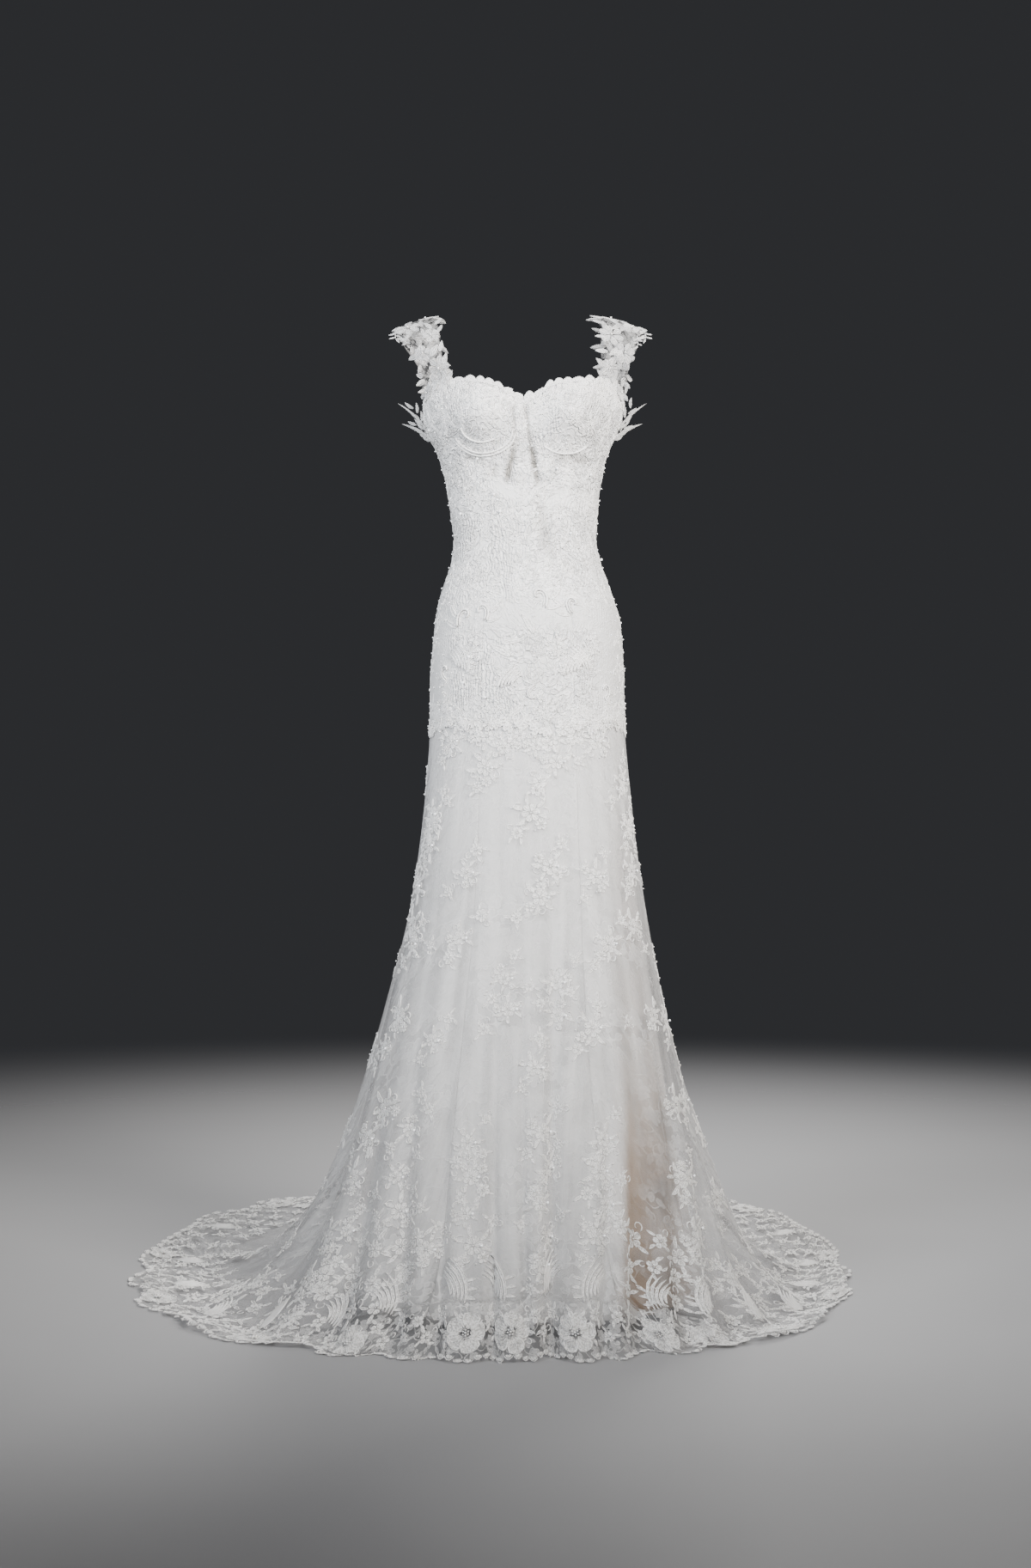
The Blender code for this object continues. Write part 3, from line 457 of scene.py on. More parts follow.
def strap(side):
    """Surface of a strap for side 1 (left) or -1 (right), a cubic Hermite through its rows. Across runs
    -0.5..0.5 to the wearer's left; down runs 0..1 from the back base over the shoulder to the front."""
    def rows(across):
        inner_to_outer = side * across[None, :, None]
        base = []
        front, back = STRAP_FRONT_BASE_DEG, STRAP_BACK_BASE_DEG
        drops = STRAP_OVERLAP, -STRAP_CLEAR, -STRAP_CLEAR, STRAP_OVERLAP
        for (inner, outer), drop in zip((front, front, back, back), drops):
            part = inner_to_outer[0, :, 0] + 0.5
            angle = side * np.radians(inner + (outer - inner) * part)
            depth = drop - neckline(angle)
            base.append(bodice(angle, depth) + STRAP_LAY * outward(bodice, angle, depth))
        x, y, z, width, aft, drop = np.array(STRAP).T[:, :, None]
        way = unit(stacked(1, aft, -drop))
        turned = np.minimum(1.0, np.abs(y) / STRAP_TURN)
        crown = stacked(0, np.sign(y) * turned, 1 - turned)
        free = stacked(x, y, z) + width[..., None] * inner_to_outer * way
        free = free + STRAP_CROWN * (1 - 4 * inner_to_outer**2) * crown
        return np.stack([*base[:2], *(free * (side, 1, 1)), *base[2:]])

    middle = rows(np.zeros(1))[:, 0]
    run = np.r_[0, strides(middle, 0).cumsum()]

    def surface(across, down):
        across, down = np.broadcast_arrays(across, down)
        row = rows(across.ravel())
        tangent = np.gradient(row, run, axis=0)
        at = (1 - down.ravel()) * run[-1]
        i = np.clip(np.searchsorted(run, at) - 1, 0, len(run) - 2)
        step = run[i + 1] - run[i]
        t, step, each = ((at - run[i]) / step)[:, None], step[:, None], np.arange(len(at))
        slopes = tangent[i, each] * step, tangent[i + 1, each] * step
        points = hermite(t, row[i, each], slopes[0], row[i + 1, each], slopes[1])
        points[:, 0] -= SHOULDER_LEAN * np.clip(points[:, 2] - STRAP[0][2], 0, None)
        return points.reshape(*across.shape, 3)

    return surface


def outward(surface, across, down):
    """Unit normals of a surface, (d/d down) x (d/d across), by small steps."""
    step = 1e-4
    over = surface(across + step, down) - surface(across - step, down)
    along = surface(across, down + step) - surface(across, down - step)
    return unit(np.cross(along, over))


class Chart:
    """Lengths measured along a cloth's surface: a table of length across each row, and one of length
    down each column, so that flat motifs keep their size wherever they are laid."""

    def __init__(self, surface, low, high, steps):
        self.surface = surface
        self.low = np.array(low, float)
        self.pace = (np.array(high, float) - low) / steps
        self.steps = np.array(steps)
        across, down = (self.low[k] + self.pace[k] * np.arange(steps[k] + 1) for k in range(2))
        grid = surface(across[None, :], down[:, None])
        self.across = np.pad(strides(grid, 1).cumsum(axis=1), ((0, 0), (1, 0)))
        self.down = np.pad(strides(grid, 0).cumsum(axis=0), ((1, 0), (0, 0))).T

    def spot(self, value, axis):
        """The value as a place in the tables, counted in cells."""
        return np.clip((value - self.low[axis]) / self.pace[axis], 0, self.steps[axis] - 1e-6)

    @staticmethod
    def read(table, line, place):
        """Bilinear reading of a table at fractional line and place."""
        i, j = line.astype(int), place.astype(int)
        s, t = line - i, place - j
        near = table[i, j] * (1 - t) + table[i, j + 1] * t
        far = table[i + 1, j] * (1 - t) + table[i + 1, j + 1] * t
        return near * (1 - s) + far * s

    @staticmethod
    def find(table, line, length):
        """The fractional place along a fractional line where the table reaches a length."""
        i = line.astype(int)
        s = line - i
        total = table.max() + 1.0
        runs = (table + total * np.arange(len(table))[:, None]).ravel()
        found = []
        for k in (i, i + 1):
            wanted = np.clip(length, 0, table[k, -1]) + total * k
            at = np.clip(np.searchsorted(runs, wanted), 1, len(runs) - 1)
            before, after = runs[at - 1], runs[at]
            inside = at - 1 + (wanted - before) / np.maximum(after - before, 1e-12)
            found.append(np.clip(inside - k * table.shape[1], 0, table.shape[1] - 1))
        return found[0] * (1 - s) + found[1] * s

    def widths(self, across, down):
        """Length across to each point, from the chart's edge."""
        return self.read(self.across, self.spot(down, 1), self.spot(across, 0))

    def lengths(self, across, down):
        """Length down to each point, from the chart's top."""
        return self.read(self.down, self.spot(across, 0), self.spot(down, 1))

    def span(self, start, end, down):
        """Length from one across value to another, on the row at down."""
        return self.widths(end, down) - self.widths(start, down)

    def below(self, across, length):
        """The down value at a length below the chart's top, on the column at across."""
        return self.low[1] + self.pace[1] * self.find(self.down, self.spot(across, 0), length)

    def above_end(self, across, distance):
        """The down value at a distance up the cloth from its lower end."""
        end = self.lengths(across, self.low[1] + self.pace[1] * self.steps[1])
        return self.below(across, end - distance)

    def beside(self, across, down, width):
        """The across value at a width to the wearer's left of a column, on the row at down."""
        length = self.widths(across, down) + width
        return self.low[0] + self.pace[0] * self.find(self.across, self.spot(down, 1), length)

    def evenly(self, start, end, down, pitch, row):
        """Across values about a pitch apart on the row at down; every second row is half a pitch on."""
        wide = self.span(start, end, down).item()
        count = int(wide / pitch)
        return self.beside(start, down, wide * (np.arange(count) + 0.25 + 0.5 * (row % 2)) / count)

    def raised(self, across, down, rise):
        """Points at these places, raised square to the cloth."""
        points = self.surface(across, down)
        return points + np.asarray(rise)[..., None] * outward(self.surface, across, down)

    def lay(self, across, down, shape_points, turn=0.0, size=1.0, lift=0.0):
        """Flat points (right, up, rise) of a motif, turned by an angle and laid at places on the cloth:
        each goes up its column by length, then beside it by width, then out by its rise."""
        across, down, turn, size = (
            np.atleast_1d(np.asarray(value, float))[:, None]
            for value in np.broadcast_arrays(across, down, turn, size)
        )
        right, up, rise = (shape_points[None, :, k] for k in range(3))
        u = size * (right * np.cos(turn) - up * np.sin(turn))
        v = size * (right * np.sin(turn) + up * np.cos(turn))
        lower = self.below(across, self.lengths(across, down) - v)
        return self.raised(self.beside(across, lower, u), lower, rise + lift)


BODICE = Chart(bodice, (-1.12 * pi, 0.070), (1.12 * pi, 0.700), (720, 420))
SKIRT = Chart(overskirt, (-1.06, -1.0), (1.06, LAST_RING), (2120, 500))
STRAPS = {side: Chart(strap(side), (-0.95, 0.0), (0.95, 1.0), (60, 200)) for side in (1, -1)}

THREAD, FILL, BEAD = 0, 1, 2


class Shape:
    """A closed body in the flat: points (right, up, rise), its four- and three-sided faces, and a
    finish number for each face: THREAD, FILL or BEAD."""

    def __init__(self, points, quads, tris, finish=THREAD):
        self.points = np.asarray(points, float)
        self.quads = np.asarray(quads, int).reshape(-1, 4)
        self.tris = np.asarray(tris, int).reshape(-1, 3)
        self.finish = np.broadcast_to(finish, len(self.quads) + len(self.tris))

    def facing_out(self):
        """The same body with its faces turned over if its volume, sum of a . (b x c) / 6, is negative."""
        fans = np.concatenate([self.quads[:, [0, 1, 2]], self.quads[:, [0, 2, 3]], self.tris])
        a, b, c = (self.points[fans[:, k]] for k in range(3))
        if (a * np.cross(b, c)).sum() < 0:
            self.quads, self.tris = self.quads[:, ::-1], self.tris[:, ::-1]
        return self

    def placed(self, turn=0.0, size=1.0, at=(0.0, 0.0), lift=0.0):
        """A copy turned by an angle, scaled in the flat and moved."""
        x, y = self.points[:, 0] * size, self.points[:, 1] * size
        right, up = x * cos(turn) - y * sin(turn) + at[0], x * sin(turn) + y * cos(turn) + at[1]
        return Shape(stacked(right, up, self.points[:, 2] + lift), self.quads, self.tris, self.finish)

    def mirrored(self):
        """The same body seen in a mirror: right becomes left, and the faces are turned over."""
        return Shape(self.points * (-1, 1, 1), self.quads[:, ::-1], self.tris[:, ::-1], self.finish)


def joined(shapes):
    """Several bodies as one shape."""
    starts = np.cumsum([0] + [len(s.points) for s in shapes[:-1]])
    quads = [s.quads + n for s, n in zip(shapes, starts)]
    tris = [s.tris + n for s, n in zip(shapes, starts)]
    fours = [s.finish[: len(s.quads)] for s in shapes]
    threes = [s.finish[len(s.quads):] for s in shapes]
    points = np.concatenate([s.points for s in shapes])
    return Shape(points, np.concatenate(quads), np.concatenate(tris), np.concatenate(fours + threes))


def ring_quads(rows, around):
    """Faces between rows of a tube with this many points around."""
    here, k = around * np.arange(rows - 1)[:, None], np.arange(around)
    there, nxt = here + around, (k + 1) % around
    return stacked(here + k, here + nxt, there + nxt, there + k).reshape(-1, 4)


def capped(rings, poles, finish=THREAD):
    """A closed body through rings of points, (rows, around, 3), with a pole at each end."""
    rows, around = rings.shape[:2]
    k = np.arange(around)
    nxt, end = (k + 1) % around, (rows - 1) * around
    fans = stacked(rows * around, nxt, k), stacked(rows * around + 1, end + k, end + nxt)
    points = np.concatenate([rings.reshape(-1, 3), poles])
    return Shape(points, ring_quads(rows, around), np.concatenate(fans), finish).facing_out()


def sweep(path, half_width, rise, profile):
    """A profile (sideways, up, finish) carried along a path in the flat: point = path + half width *
    sideways * the path's right, rise * up. It ends in a pole at each end of its path."""
    path = np.asarray(path, float)
    ahead = unit(np.gradient(path, axis=0))
    right = stacked(ahead[:, 1], -ahead[:, 0])
    wide = np.broadcast_to(half_width, len(path))[:, None, None]
    tall = np.broadcast_to(rise, len(path))[:, None]
    flat = path[:, None] + wide * profile[None, :, :1] * right[:, None]
    rings = np.dstack([flat, tall * profile[None, :, 1]])[1:-1]
    middle = profile[:, 1].mean()
    poles = [[*path[0], tall[0, 0] * middle], [*path[-1], tall[-1, 0] * middle]]
    return capped(rings, poles, np.tile(profile[:, 2].astype(int), len(rings) + 1))


def rounds(count, start=0.0):
    """Angles evenly round a circle."""
    return start + 2 * pi * np.arange(count) / count


def round_section(count, middle, start=0.0):
    """A cord's profile: a circle of points sunk so that its middle is at this height."""
    turn = rounds(count, start)
    return stacked(np.cos(turn), middle + (1 - middle) * np.sin(turn), THREAD)


ROUND_CORD = round_section(5, 0.45, 0.3)
SQUARE_CORD = round_section(4, 0.40)
# Petals and leaves, as (sideways, up, finish of the face that follows): corded rims, and ribs in the
# wider ones, that stand above an open filling
FINE_LEAF = np.array([
    (-1.0, -0.1, THREAD), (-0.80, 1.0, THREAD), (-0.52, 0.25, FILL),
    (0.52, 0.25, THREAD), (0.80, 1.0, THREAD), (1.0, -0.1, FILL),
])
CORDED_LEAF = np.array([
    (-1.0, -0.1, THREAD), (-0.86, 1.0, THREAD), (-0.68, 0.25, FILL), (-0.12, 0.30, THREAD),
    (0.0, 0.85, THREAD), (0.12, 0.30, FILL), (0.68, 0.25, THREAD), (0.86, 1.0, THREAD), (1.0, -0.1, FILL),
])
RIMMED_PETAL = np.array([
    (-1.0, -0.1, THREAD), (-0.92, 1.0, THREAD), (-0.82, 0.2, FILL),
    (0.82, 0.2, THREAD), (0.92, 1.0, THREAD), (1.0, -0.1, FILL),
])
PETAL_RISE = 0.0012


def cord(path, thick, profile=ROUND_CORD):
    """A round cord of a half thickness along a path in the flat."""
    return sweep(path, thick, 1.8 * np.asarray(thick), profile)


def fine_cord(path, thick):
    """A thinner cord with four sides."""
    return cord(path, thick, SQUARE_CORD)


def polar(reach, angle):
    """The flat point at a reach from the middle and an angle from straight up."""
    return -reach * sin(angle), reach * cos(angle)


def bead(radius, at=(0.0, 0.0), lift=0.0, finish=BEAD):
    """A small ball: two rings of five points at heights r (1 -+ 0.5) and a pole below and above."""
    turn, k = rounds(5), np.arange(5)
    nxt = (k + 1) % 5
    lower = stacked(0.87 * np.cos(turn), 0.87 * np.sin(turn), 0.5)
    upper = stacked(0.87 * np.cos(turn + 0.6), 0.87 * np.sin(turn + 0.6), 1.5)
    points = np.concatenate([lower, upper, [(0, 0, 0), (0, 0, 2)]]) * radius + (*at, lift)
    corners = (k, nxt, 5 + k), (nxt, 5 + nxt, 5 + k), (10, nxt, k), (11, 5 + k, 5 + nxt)
    faces = np.concatenate([stacked(*three) for three in corners])
    return Shape(points, [], faces, finish).facing_out()


def spread(rows):
    """Shares from 0 to 1, closer together at both ends: (1 - cos(pi k)) / 2."""
    return (1 - np.cos(pi * np.linspace(0, 1, rows))) / 2


def petal(inner, outer, width, profile=CORDED_LEAF, rise=PETAL_RISE, rows=6):
    """A petal from inner to outer radius: half width = width/2 * sin(pi t^1.6)^0.6, t along it."""
    t = spread(rows)
    path = stacked(0, inner + (outer - inner) * t)
    half = width / 2 * np.sin(pi * np.clip(t, 0.004, 0.996) ** 1.6) ** 0.6
    return sweep(path, half, rise * (0.6 + 0.4 * t), profile)


def headed(length, heading, steps):
    """A path of a length whose heading, an angle from straight up, is given for each step."""
    return length * np.cumsum(stacked(-np.sin(heading), np.cos(heading)) * steps, axis=0)


def bending(length, bend, t):
    """A path whose heading turns evenly by an angle over its length."""
    return headed(length, bend * t, np.diff(t, prepend=0)[:, None])


def leaf(length, width, bend=0.0, rows=6, rise=PETAL_RISE, profile=CORDED_LEAF):
    """A pointed leaf along a bending path: half width = width/2 * sin(pi t^0.8)^0.9."""
    t = spread(rows)
    half = width / 2 * np.sin(pi * np.clip(t, 0.004, 0.996) ** 0.8) ** 0.9
    return sweep(bending(length, bend, t), half, rise, profile)


def fine_leaf(length, width, bend=0.0, rows=5, rise=PETAL_RISE):
    """A leaf without a rib, for small work."""
    return leaf(length, width, bend, rows, rise, FINE_LEAF)


def curl(length, turns):
    """A cord that winds in on itself: its heading turns by 2 pi turns t^1.5 along its length."""
    t = np.linspace(0, 1, 9)
    return fine_cord(headed(length, 2 * pi * turns * t**1.5, 1 / len(t)), 0.0009 * (1 - 0.3 * t))


def heart(radius, beads, size):
    """A beaded flower centre: one bead within a ring of beads."""
    ring = [bead(size, (radius * cos(a), radius * sin(a)), 0.0004) for a in rounds(beads)]
    return joined([bead(size * 1.35, lift=0.0006), *ring])


def around(shape, count, start=0.0, lift=0.0):
    """Copies of a shape turned evenly about the middle, every second one a hair higher."""
    return [shape.placed(a, lift=lift + 0.00012 * (n % 2)) for n, a in enumerate(rounds(count, start))]


def rosette(radius, petals=5, width=1.0, profile=CORDED_LEAF, rows=6, rise=PETAL_RISE):
    """A flower: petals round a beaded centre."""
    one = petal(0.14 * radius, radius, width * 4.4 * radius / petals, profile, rise, rows)
    return joined([*around(one, petals), bead(0.0008 + 0.05 * radius, lift=0.0006)])


def fine_rosette(radius, rise=PETAL_RISE):
    """A small flower with five petals without ribs."""
    return rosette(radius, 5, 1.0, FINE_LEAF, 5, rise)


def blossom(radius, petals, seed):
    """A hem flower: wide sheer petals with a corded rim and three fine ribs, each of its own length, a
    short leaf in each gap, and a beaded centre."""
    rng = np.random.default_rng(seed)
    parts = []
    for n, a in enumerate(rounds(petals)):
        long = radius * rng.uniform(0.88, 1.05)
        wide = 4.7 * radius / petals * rng.uniform(0.92, 1.08)
        one = [petal(0.18 * radius, long, wide, RIMMED_PETAL, 0.0013, 7)]
        for lean in (-0.26, 0.0, 0.26):
            along = np.linspace(0.24, 0.80 - 0.3 * abs(lean), 4)[:, None] * long
            one.append(fine_cord(along * np.array([sin(lean), cos(lean)]), 0.0006))
        parts.append(joined(one).placed(a + rng.uniform(-0.08, 0.08), lift=0.0003 * (n % 2)))
    between = petal(0.24 * radius, 0.70 * radius, 0.16 * radius, FINE_LEAF, rows=5)
    return joined([
        *parts, *around(between, petals, pi / petals, 0.0004),
        heart(0.13 * radius, 6, 0.0017).placed(lift=0.0006),
    ])


def plume(length, bend=1.3, blades=5):
    """A sickle-shaped feather: long thin blades side by side, each shorter than the last, with small
    leaves along the outer edge."""
    parts = []
    for n in range(blades):
        blade = fine_leaf(length * (1 - 0.13 * n), 0.0050, bend * (1 + 0.03 * n), 8, 0.0018)
        parts.append(blade.placed(0.03 * n - bend / 2, at=(-0.0040 * n, 0.0045 * n), lift=0.0001 * n))
    t = np.linspace(0, 1, 9)
    spine = bending(length, bend, t)
    turned = cos(bend / 2), sin(-bend / 2)
    for share in (0.12, 0.27, 0.42):
        right, up = (np.interp(share, t, spine[:, k]) for k in range(2))
        foot = right * turned[0] - up * turned[1], right * turned[1] + up * turned[0]
        blade = fine_leaf(0.20 * length, 0.0055, -0.7, rise=0.0013)
        parts.append(blade.placed(bend * (share - 0.5) - 0.95, at=foot))
    return joined(parts)


def sprig(length):
    """A thin bending stem with five small leaves set along it and one at its end."""
    t = np.linspace(0, 1, 7)
    stem = bending(length, 0.7, t)
    parts = [fine_cord(stem, 0.0007)]
    for share, side in ((0.35, 1), (0.5, -1), (0.65, 1), (0.8, -1), (0.95, 0.2)):
        foot = [np.interp(share, t, stem[:, k]) for k in range(2)]
        blade = fine_leaf(0.38 * length, 0.13 * length, 0.4 * side, rise=0.0010)
        parts.append(blade.placed(0.7 * share + 0.9 * side, at=foot))
    return joined(parts)


def fan(size):
    """Three small round petals that open from one foot."""
    blade = petal(0.0, size, 0.62 * size, FINE_LEAF, 0.0010, 5)
    return joined([blade.placed(a, lift=0.0002 * n) for n, a in enumerate((-0.8, 0.8, 0.0))])


def hook(length):
    """A double cord bent like a shepherd's crook, its heading turned by 4.6 t^2.2, with two leaves at
    its foot."""
    t = np.linspace(0, 1, 12)
    path = headed(length, 4.6 * t**2.2, 1 / len(t))
    ahead = unit(np.gradient(path, axis=0))
    inner = path + 0.0034 * stacked(-ahead[:, 1], ahead[:, 0])
    foot = fine_leaf(0.45 * length, 0.13 * length, 0.5, 6)
    return joined([
        fine_cord(path, 0.0015), fine_cord(inner[:-1], 0.0011),
        foot.placed(-1.2, at=(0, 0.1 * length)), foot.placed(-0.7, at=(0, 0.35 * length)),
    ])


def fine_posy(radius, seed):
    """A small spray with few faces: a five-petalled flower with leaves and a curl about it."""
    rng = np.random.default_rng(seed)
    way = rng.uniform(0, 2 * pi)
    parts = [fine_rosette(0.50 * radius, 0.0013).placed(way)]
    for a in rounds(4, way + 0.5)[:3]:
        size = radius * rng.uniform(0.60, 0.80)
        blade = fine_leaf(size, 0.36 * size, rng.uniform(-1.0, 1.0))
        parts.append(blade.placed(a + rng.uniform(-0.6, 0.6), at=polar(0.42 * radius, a)))
    side = way + 0.5 + 1.5 * pi
    parts.append(curl(1.2 * radius, 0.8).placed(side, at=polar(0.45 * radius, side)))
    return joined(parts)


def applique(size, seed):
    """A corded lace motif: a flower and a smaller one, leaves that run round them, curls and beads."""
    rng = np.random.default_rng(seed)
    way = rng.uniform(0, 2 * pi)
    parts = [rosette(0.42 * size, 6, 0.9).placed(way)]
    parts.append(fine_rosette(0.26 * size).placed(way, at=polar(0.66 * size, way), lift=0.0003))
    for n, a in enumerate(rounds(6, way + 0.55)[:5]):
        long = size * rng.uniform(0.50, 0.72)
        bend = rng.uniform(0.6, 1.3) * (1 if n % 2 else -1)
        parts.append(leaf(long, 0.32 * long, bend).placed(a - 0.5 * bend, at=polar(0.34 * size, a)))
    for n, a in enumerate(rounds(3, way + 1.2)):
        parts.append(curl(0.9 * size, 0.85 * (1 if n % 2 else -1)).placed(a, at=polar(0.46 * size, a)))
        parts.append(bead(0.0013, polar(0.78 * size, a + 0.4), 0.0006))
    return joined(parts)


def scallop(wide, deep=False):
    """A corded lobe, its top at +up: a cord over |sin|, petals fanned from its foot, and a bead; a deep
    one has a second cord within it and picots along its edge."""
    t = np.linspace(0, 1, 9 if deep else 11)
    rise = 0.50 * wide if deep else 0.34 * wide
    arch = np.sin(pi * t) ** 0.7
    outer = stacked(wide * (t - 0.5), rise * arch - 0.10 * wide)
    thick = 0.0011 if deep else 0.0006
    parts = [fine_cord(outer, thick)]
    one = petal(0.04 * wide, 0.34 * wide, 0.22 * wide, FINE_LEAF, 0.0004 + 0.8 * thick, 4)
    parts += [one.placed(a, at=(0, -0.10 * wide)) for a in (-0.9, 0.0, 0.9)]
    if deep:
        inner = stacked(0.72 * wide * (t - 0.5), 0.70 * rise * arch - 0.10 * wide)
        parts.append(fine_cord(inner[::2], 0.8 * thick))
        picots = outer[1:-1:2] + np.array([0, 0.0014])
        parts += [bead(0.0012, tuple(p), 0.0001, finish=THREAD) for p in picots]
    return joined(parts)


def dome(radius, rise):
    """A covered button: rings r = radius cos(a)^0.6, h = rise (0.35 + 0.65 sin(a)), and a pole each end."""
    tilt = np.radians([-40, -12, 12, 38, 64])
    turn = rounds(16)[None, :]
    r = radius * np.cos(tilt)[:, None] ** 0.6
    h = rise * (0.35 + 0.65 * np.sin(tilt))[:, None]
    return capped(stacked(r * np.cos(turn), r * np.sin(turn), h), [(0, 0, h[0, 0]), (0, 0, rise)])


class Piecework:
    """Shapes in space, gathered for one piece."""

    def __init__(self):
        self.shapes = []

    def add(self, points, shape):
        """Copies of a shape, with points in space for each copy: (copies, points of one, 3)."""
        self.shapes += [Shape(copy, shape.quads, shape.tris, shape.finish) for copy in points]

    def stitch(self, chart, shape, across, down, turn=0.0, size=1.0, lift=0.0):
        """Lay copies of a flat shape on a cloth."""
        if np.size(across):
            self.add(chart.lay(across, down, shape.points, turn, size, lift), shape)

    def made(self, name, carrier_slot, finishes=None):
        """The gathered shapes as one object, of lace unless other finishes are given."""
        return new_piece(name, joined(self.shapes), finishes or lace())


def stand(data, place=(0, 0, 0), turned=(0, 0, 0)):
    """A mesh, lamp or camera as an object of the same name in the scene."""
    thing = bpy.data.objects.new(data.name, data)
    thing.location, thing.rotation_euler = place, turned
    bpy.context.scene.collection.objects.link(thing)
    return thing


def new_piece(name, shape, finishes):
    """A shape as a smooth-shaded object, riding on the gown."""
    mesh = bpy.data.meshes.new(name)
    mesh.vertices.add(len(shape.points))
    mesh.vertices.foreach_set("co", shape.points.astype(np.float32).ravel())
    corners = np.concatenate([shape.quads.ravel(), shape.tris.ravel()]).astype(np.int32)
    mesh.loops.add(len(corners))
    mesh.loops.foreach_set("vertex_index", corners)
    fours, threes = len(shape.quads), len(shape.tris)
    starts = np.concatenate([4 * np.arange(fours), 4 * fours + 3 * np.arange(threes)])
    mesh.polygons.add(len(starts))
    mesh.polygons.foreach_set("loop_start", starts.astype(np.int32))
    for made in finishes:
        mesh.materials.append(made)
    mesh.polygons.foreach_set("material_index", shape.finish.astype(np.int32))
    mesh.update(calc_edges=True)
    mesh.validate()
    mesh.shade_smooth()
    piece = stand(mesh)
    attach(piece, "root")
    return piece


def cloth(
    name, node, grid, flat_points, finish, carrier_slot, thickness, held="stretched", rests_on=(), **tints
):
    """A sheet through a grid of points, rows down by columns to the wearer's left, given a wall, that
    stands for a node. Its "Cut" UV map holds each point's place on the flat cloth, in metres; tints are
    further values for each point, by name."""
    rows, columns = grid.shape[:2]
    corner = (np.arange(rows - 1)[:, None] * columns + np.arange(columns - 1)).reshape(-1, 1)
    quads = corner + np.array([0, columns, columns + 1, 1])
    piece = new_piece(name, Shape(grid.reshape(-1, 3), quads, []), [finish])
    cut = piece.data.uv_layers.new(name="Cut")
    cut.data.foreach_set("uv", flat_points.reshape(-1, 2)[quads.ravel()].astype(np.float32).ravel())
    for label, shares in tints.items():
        shade = piece.data.attributes.new(label, "FLOAT", "POINT")
        shade.data.foreach_set("value", shares.ravel().astype(np.float32))
    wall = piece.modifiers.new("wall", "SOLIDIFY")
    wall.thickness = thickness
    wall.offset = 0
    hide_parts(node)
    wide, long, area = (round(float(v), 3) for v in cut_sizes(grid))
    area = min(area, 1.001 * wide * long)


def cut_sizes(grid):
    """The cut of a sheet: its widest row, its longest column, and its area."""
    one = np.cross(grid[1:, :-1] - grid[:-1, :-1], grid[:-1, 1:] - grid[:-1, :-1])
    two = np.cross(grid[1:, 1:] - grid[1:, :-1], grid[1:, 1:] - grid[:-1, 1:])
    area = (np.linalg.norm(one, axis=-1).sum() + np.linalg.norm(two, axis=-1).sum()) / 2
    return strides(grid, 1).sum(axis=1).max(), strides(grid, 0).sum(axis=0).max(), area


def panel_spans():
    """Name, from and to angle in radians, and scallops of each bodice panel."""
    for name, low, high, scallops in PANELS:
        for tag, side in ((("", 1),) if low < 0 else (("_left", 1), ("_right", -1))):
            start, end = sorted((radians(side * low), radians(side * high)))
            yield name + tag, start, end, scallops


def fullness(side, down):
    """How much wider than its rows a strap is: 1 + swell * (|sin| - middle), in six scallops."""
    row = STRAP_SCALLOPS * (1 - down)
    above = STRAPS[side].surface(0 * down, down)[..., 2] - STRAP[0][2]
    clear = np.clip(above / STRAP_SCALLOP_START, 0, 1)
    return 1 + STRAP_SCALLOP * clear * (np.abs(np.sin(pi * row)) - STRAP_SCALLOP_MIDDLE)


def hem_columns(start, end, lobes, points):
    """Places round the skirt, equal lengths of cloth apart on the ring where the folds are full."""
    steps = SKIRT.span(start, end, FOLDED_RING) * np.linspace(0, 1, lobes * points + 1)
    trim = SEAM_GAP / (2 * pi * RINGS[KNEE_RING + 1, 1])
    share = SKIRT.beside(start, FOLDED_RING, steps)
    return np.clip(share, start + trim, end - trim)


def small_lobes(panel):
    """Small scallops on each lobe of a panel's hem."""
    return 3 if panel.startswith("back") else 2


def big_lobes(along):
    """How far the hem's edge draws up between its big lobes, two of a panel's lobes to each:
    rise * (1 - |sin|^fullness)."""
    return LOBE_RISE * (1 - np.abs(np.sin(pi * along / 2)) ** SCALLOP_FULLNESS)


def bays(share):
    """How far the hem draws back between its big waves on the floor: depth * sin^2 along the hem."""
    run = SKIRT.widths(share, FOLDED_RING) / BAY_WIDTH
    return BAY_DEPTH * ramp(np.abs(share), *LYING_SHARES) * np.sin(pi * run + 0.8 * np.sin(2 * run)) ** 2


def as_seen(points):
    """x and height where the line from the camera to each point meets the plane Y = 0."""
    eye = np.array(CAMERA_PLACE)
    reach = eye[1] / (eye[1] - points[..., 1])
    return eye[[0, 2]] + (points[..., [0, 2]] - eye[[0, 2]]) * reach[..., None]


def in_front(chart, places, half, low, high):
    """Across and down values of the cloth's nearest point to each seen place (x, height)."""
    across, down = np.meshgrid(np.linspace(-half, half, 401), np.linspace(low, high, 401))
    seen = as_seen(chart.surface(across, down)).reshape(-1, 2)
    away = ((seen - np.array(places)[:, None]) ** 2).sum(axis=-1)
    nearest = away.argmin(axis=1)
    return across.ravel()[nearest], down.ravel()[nearest]


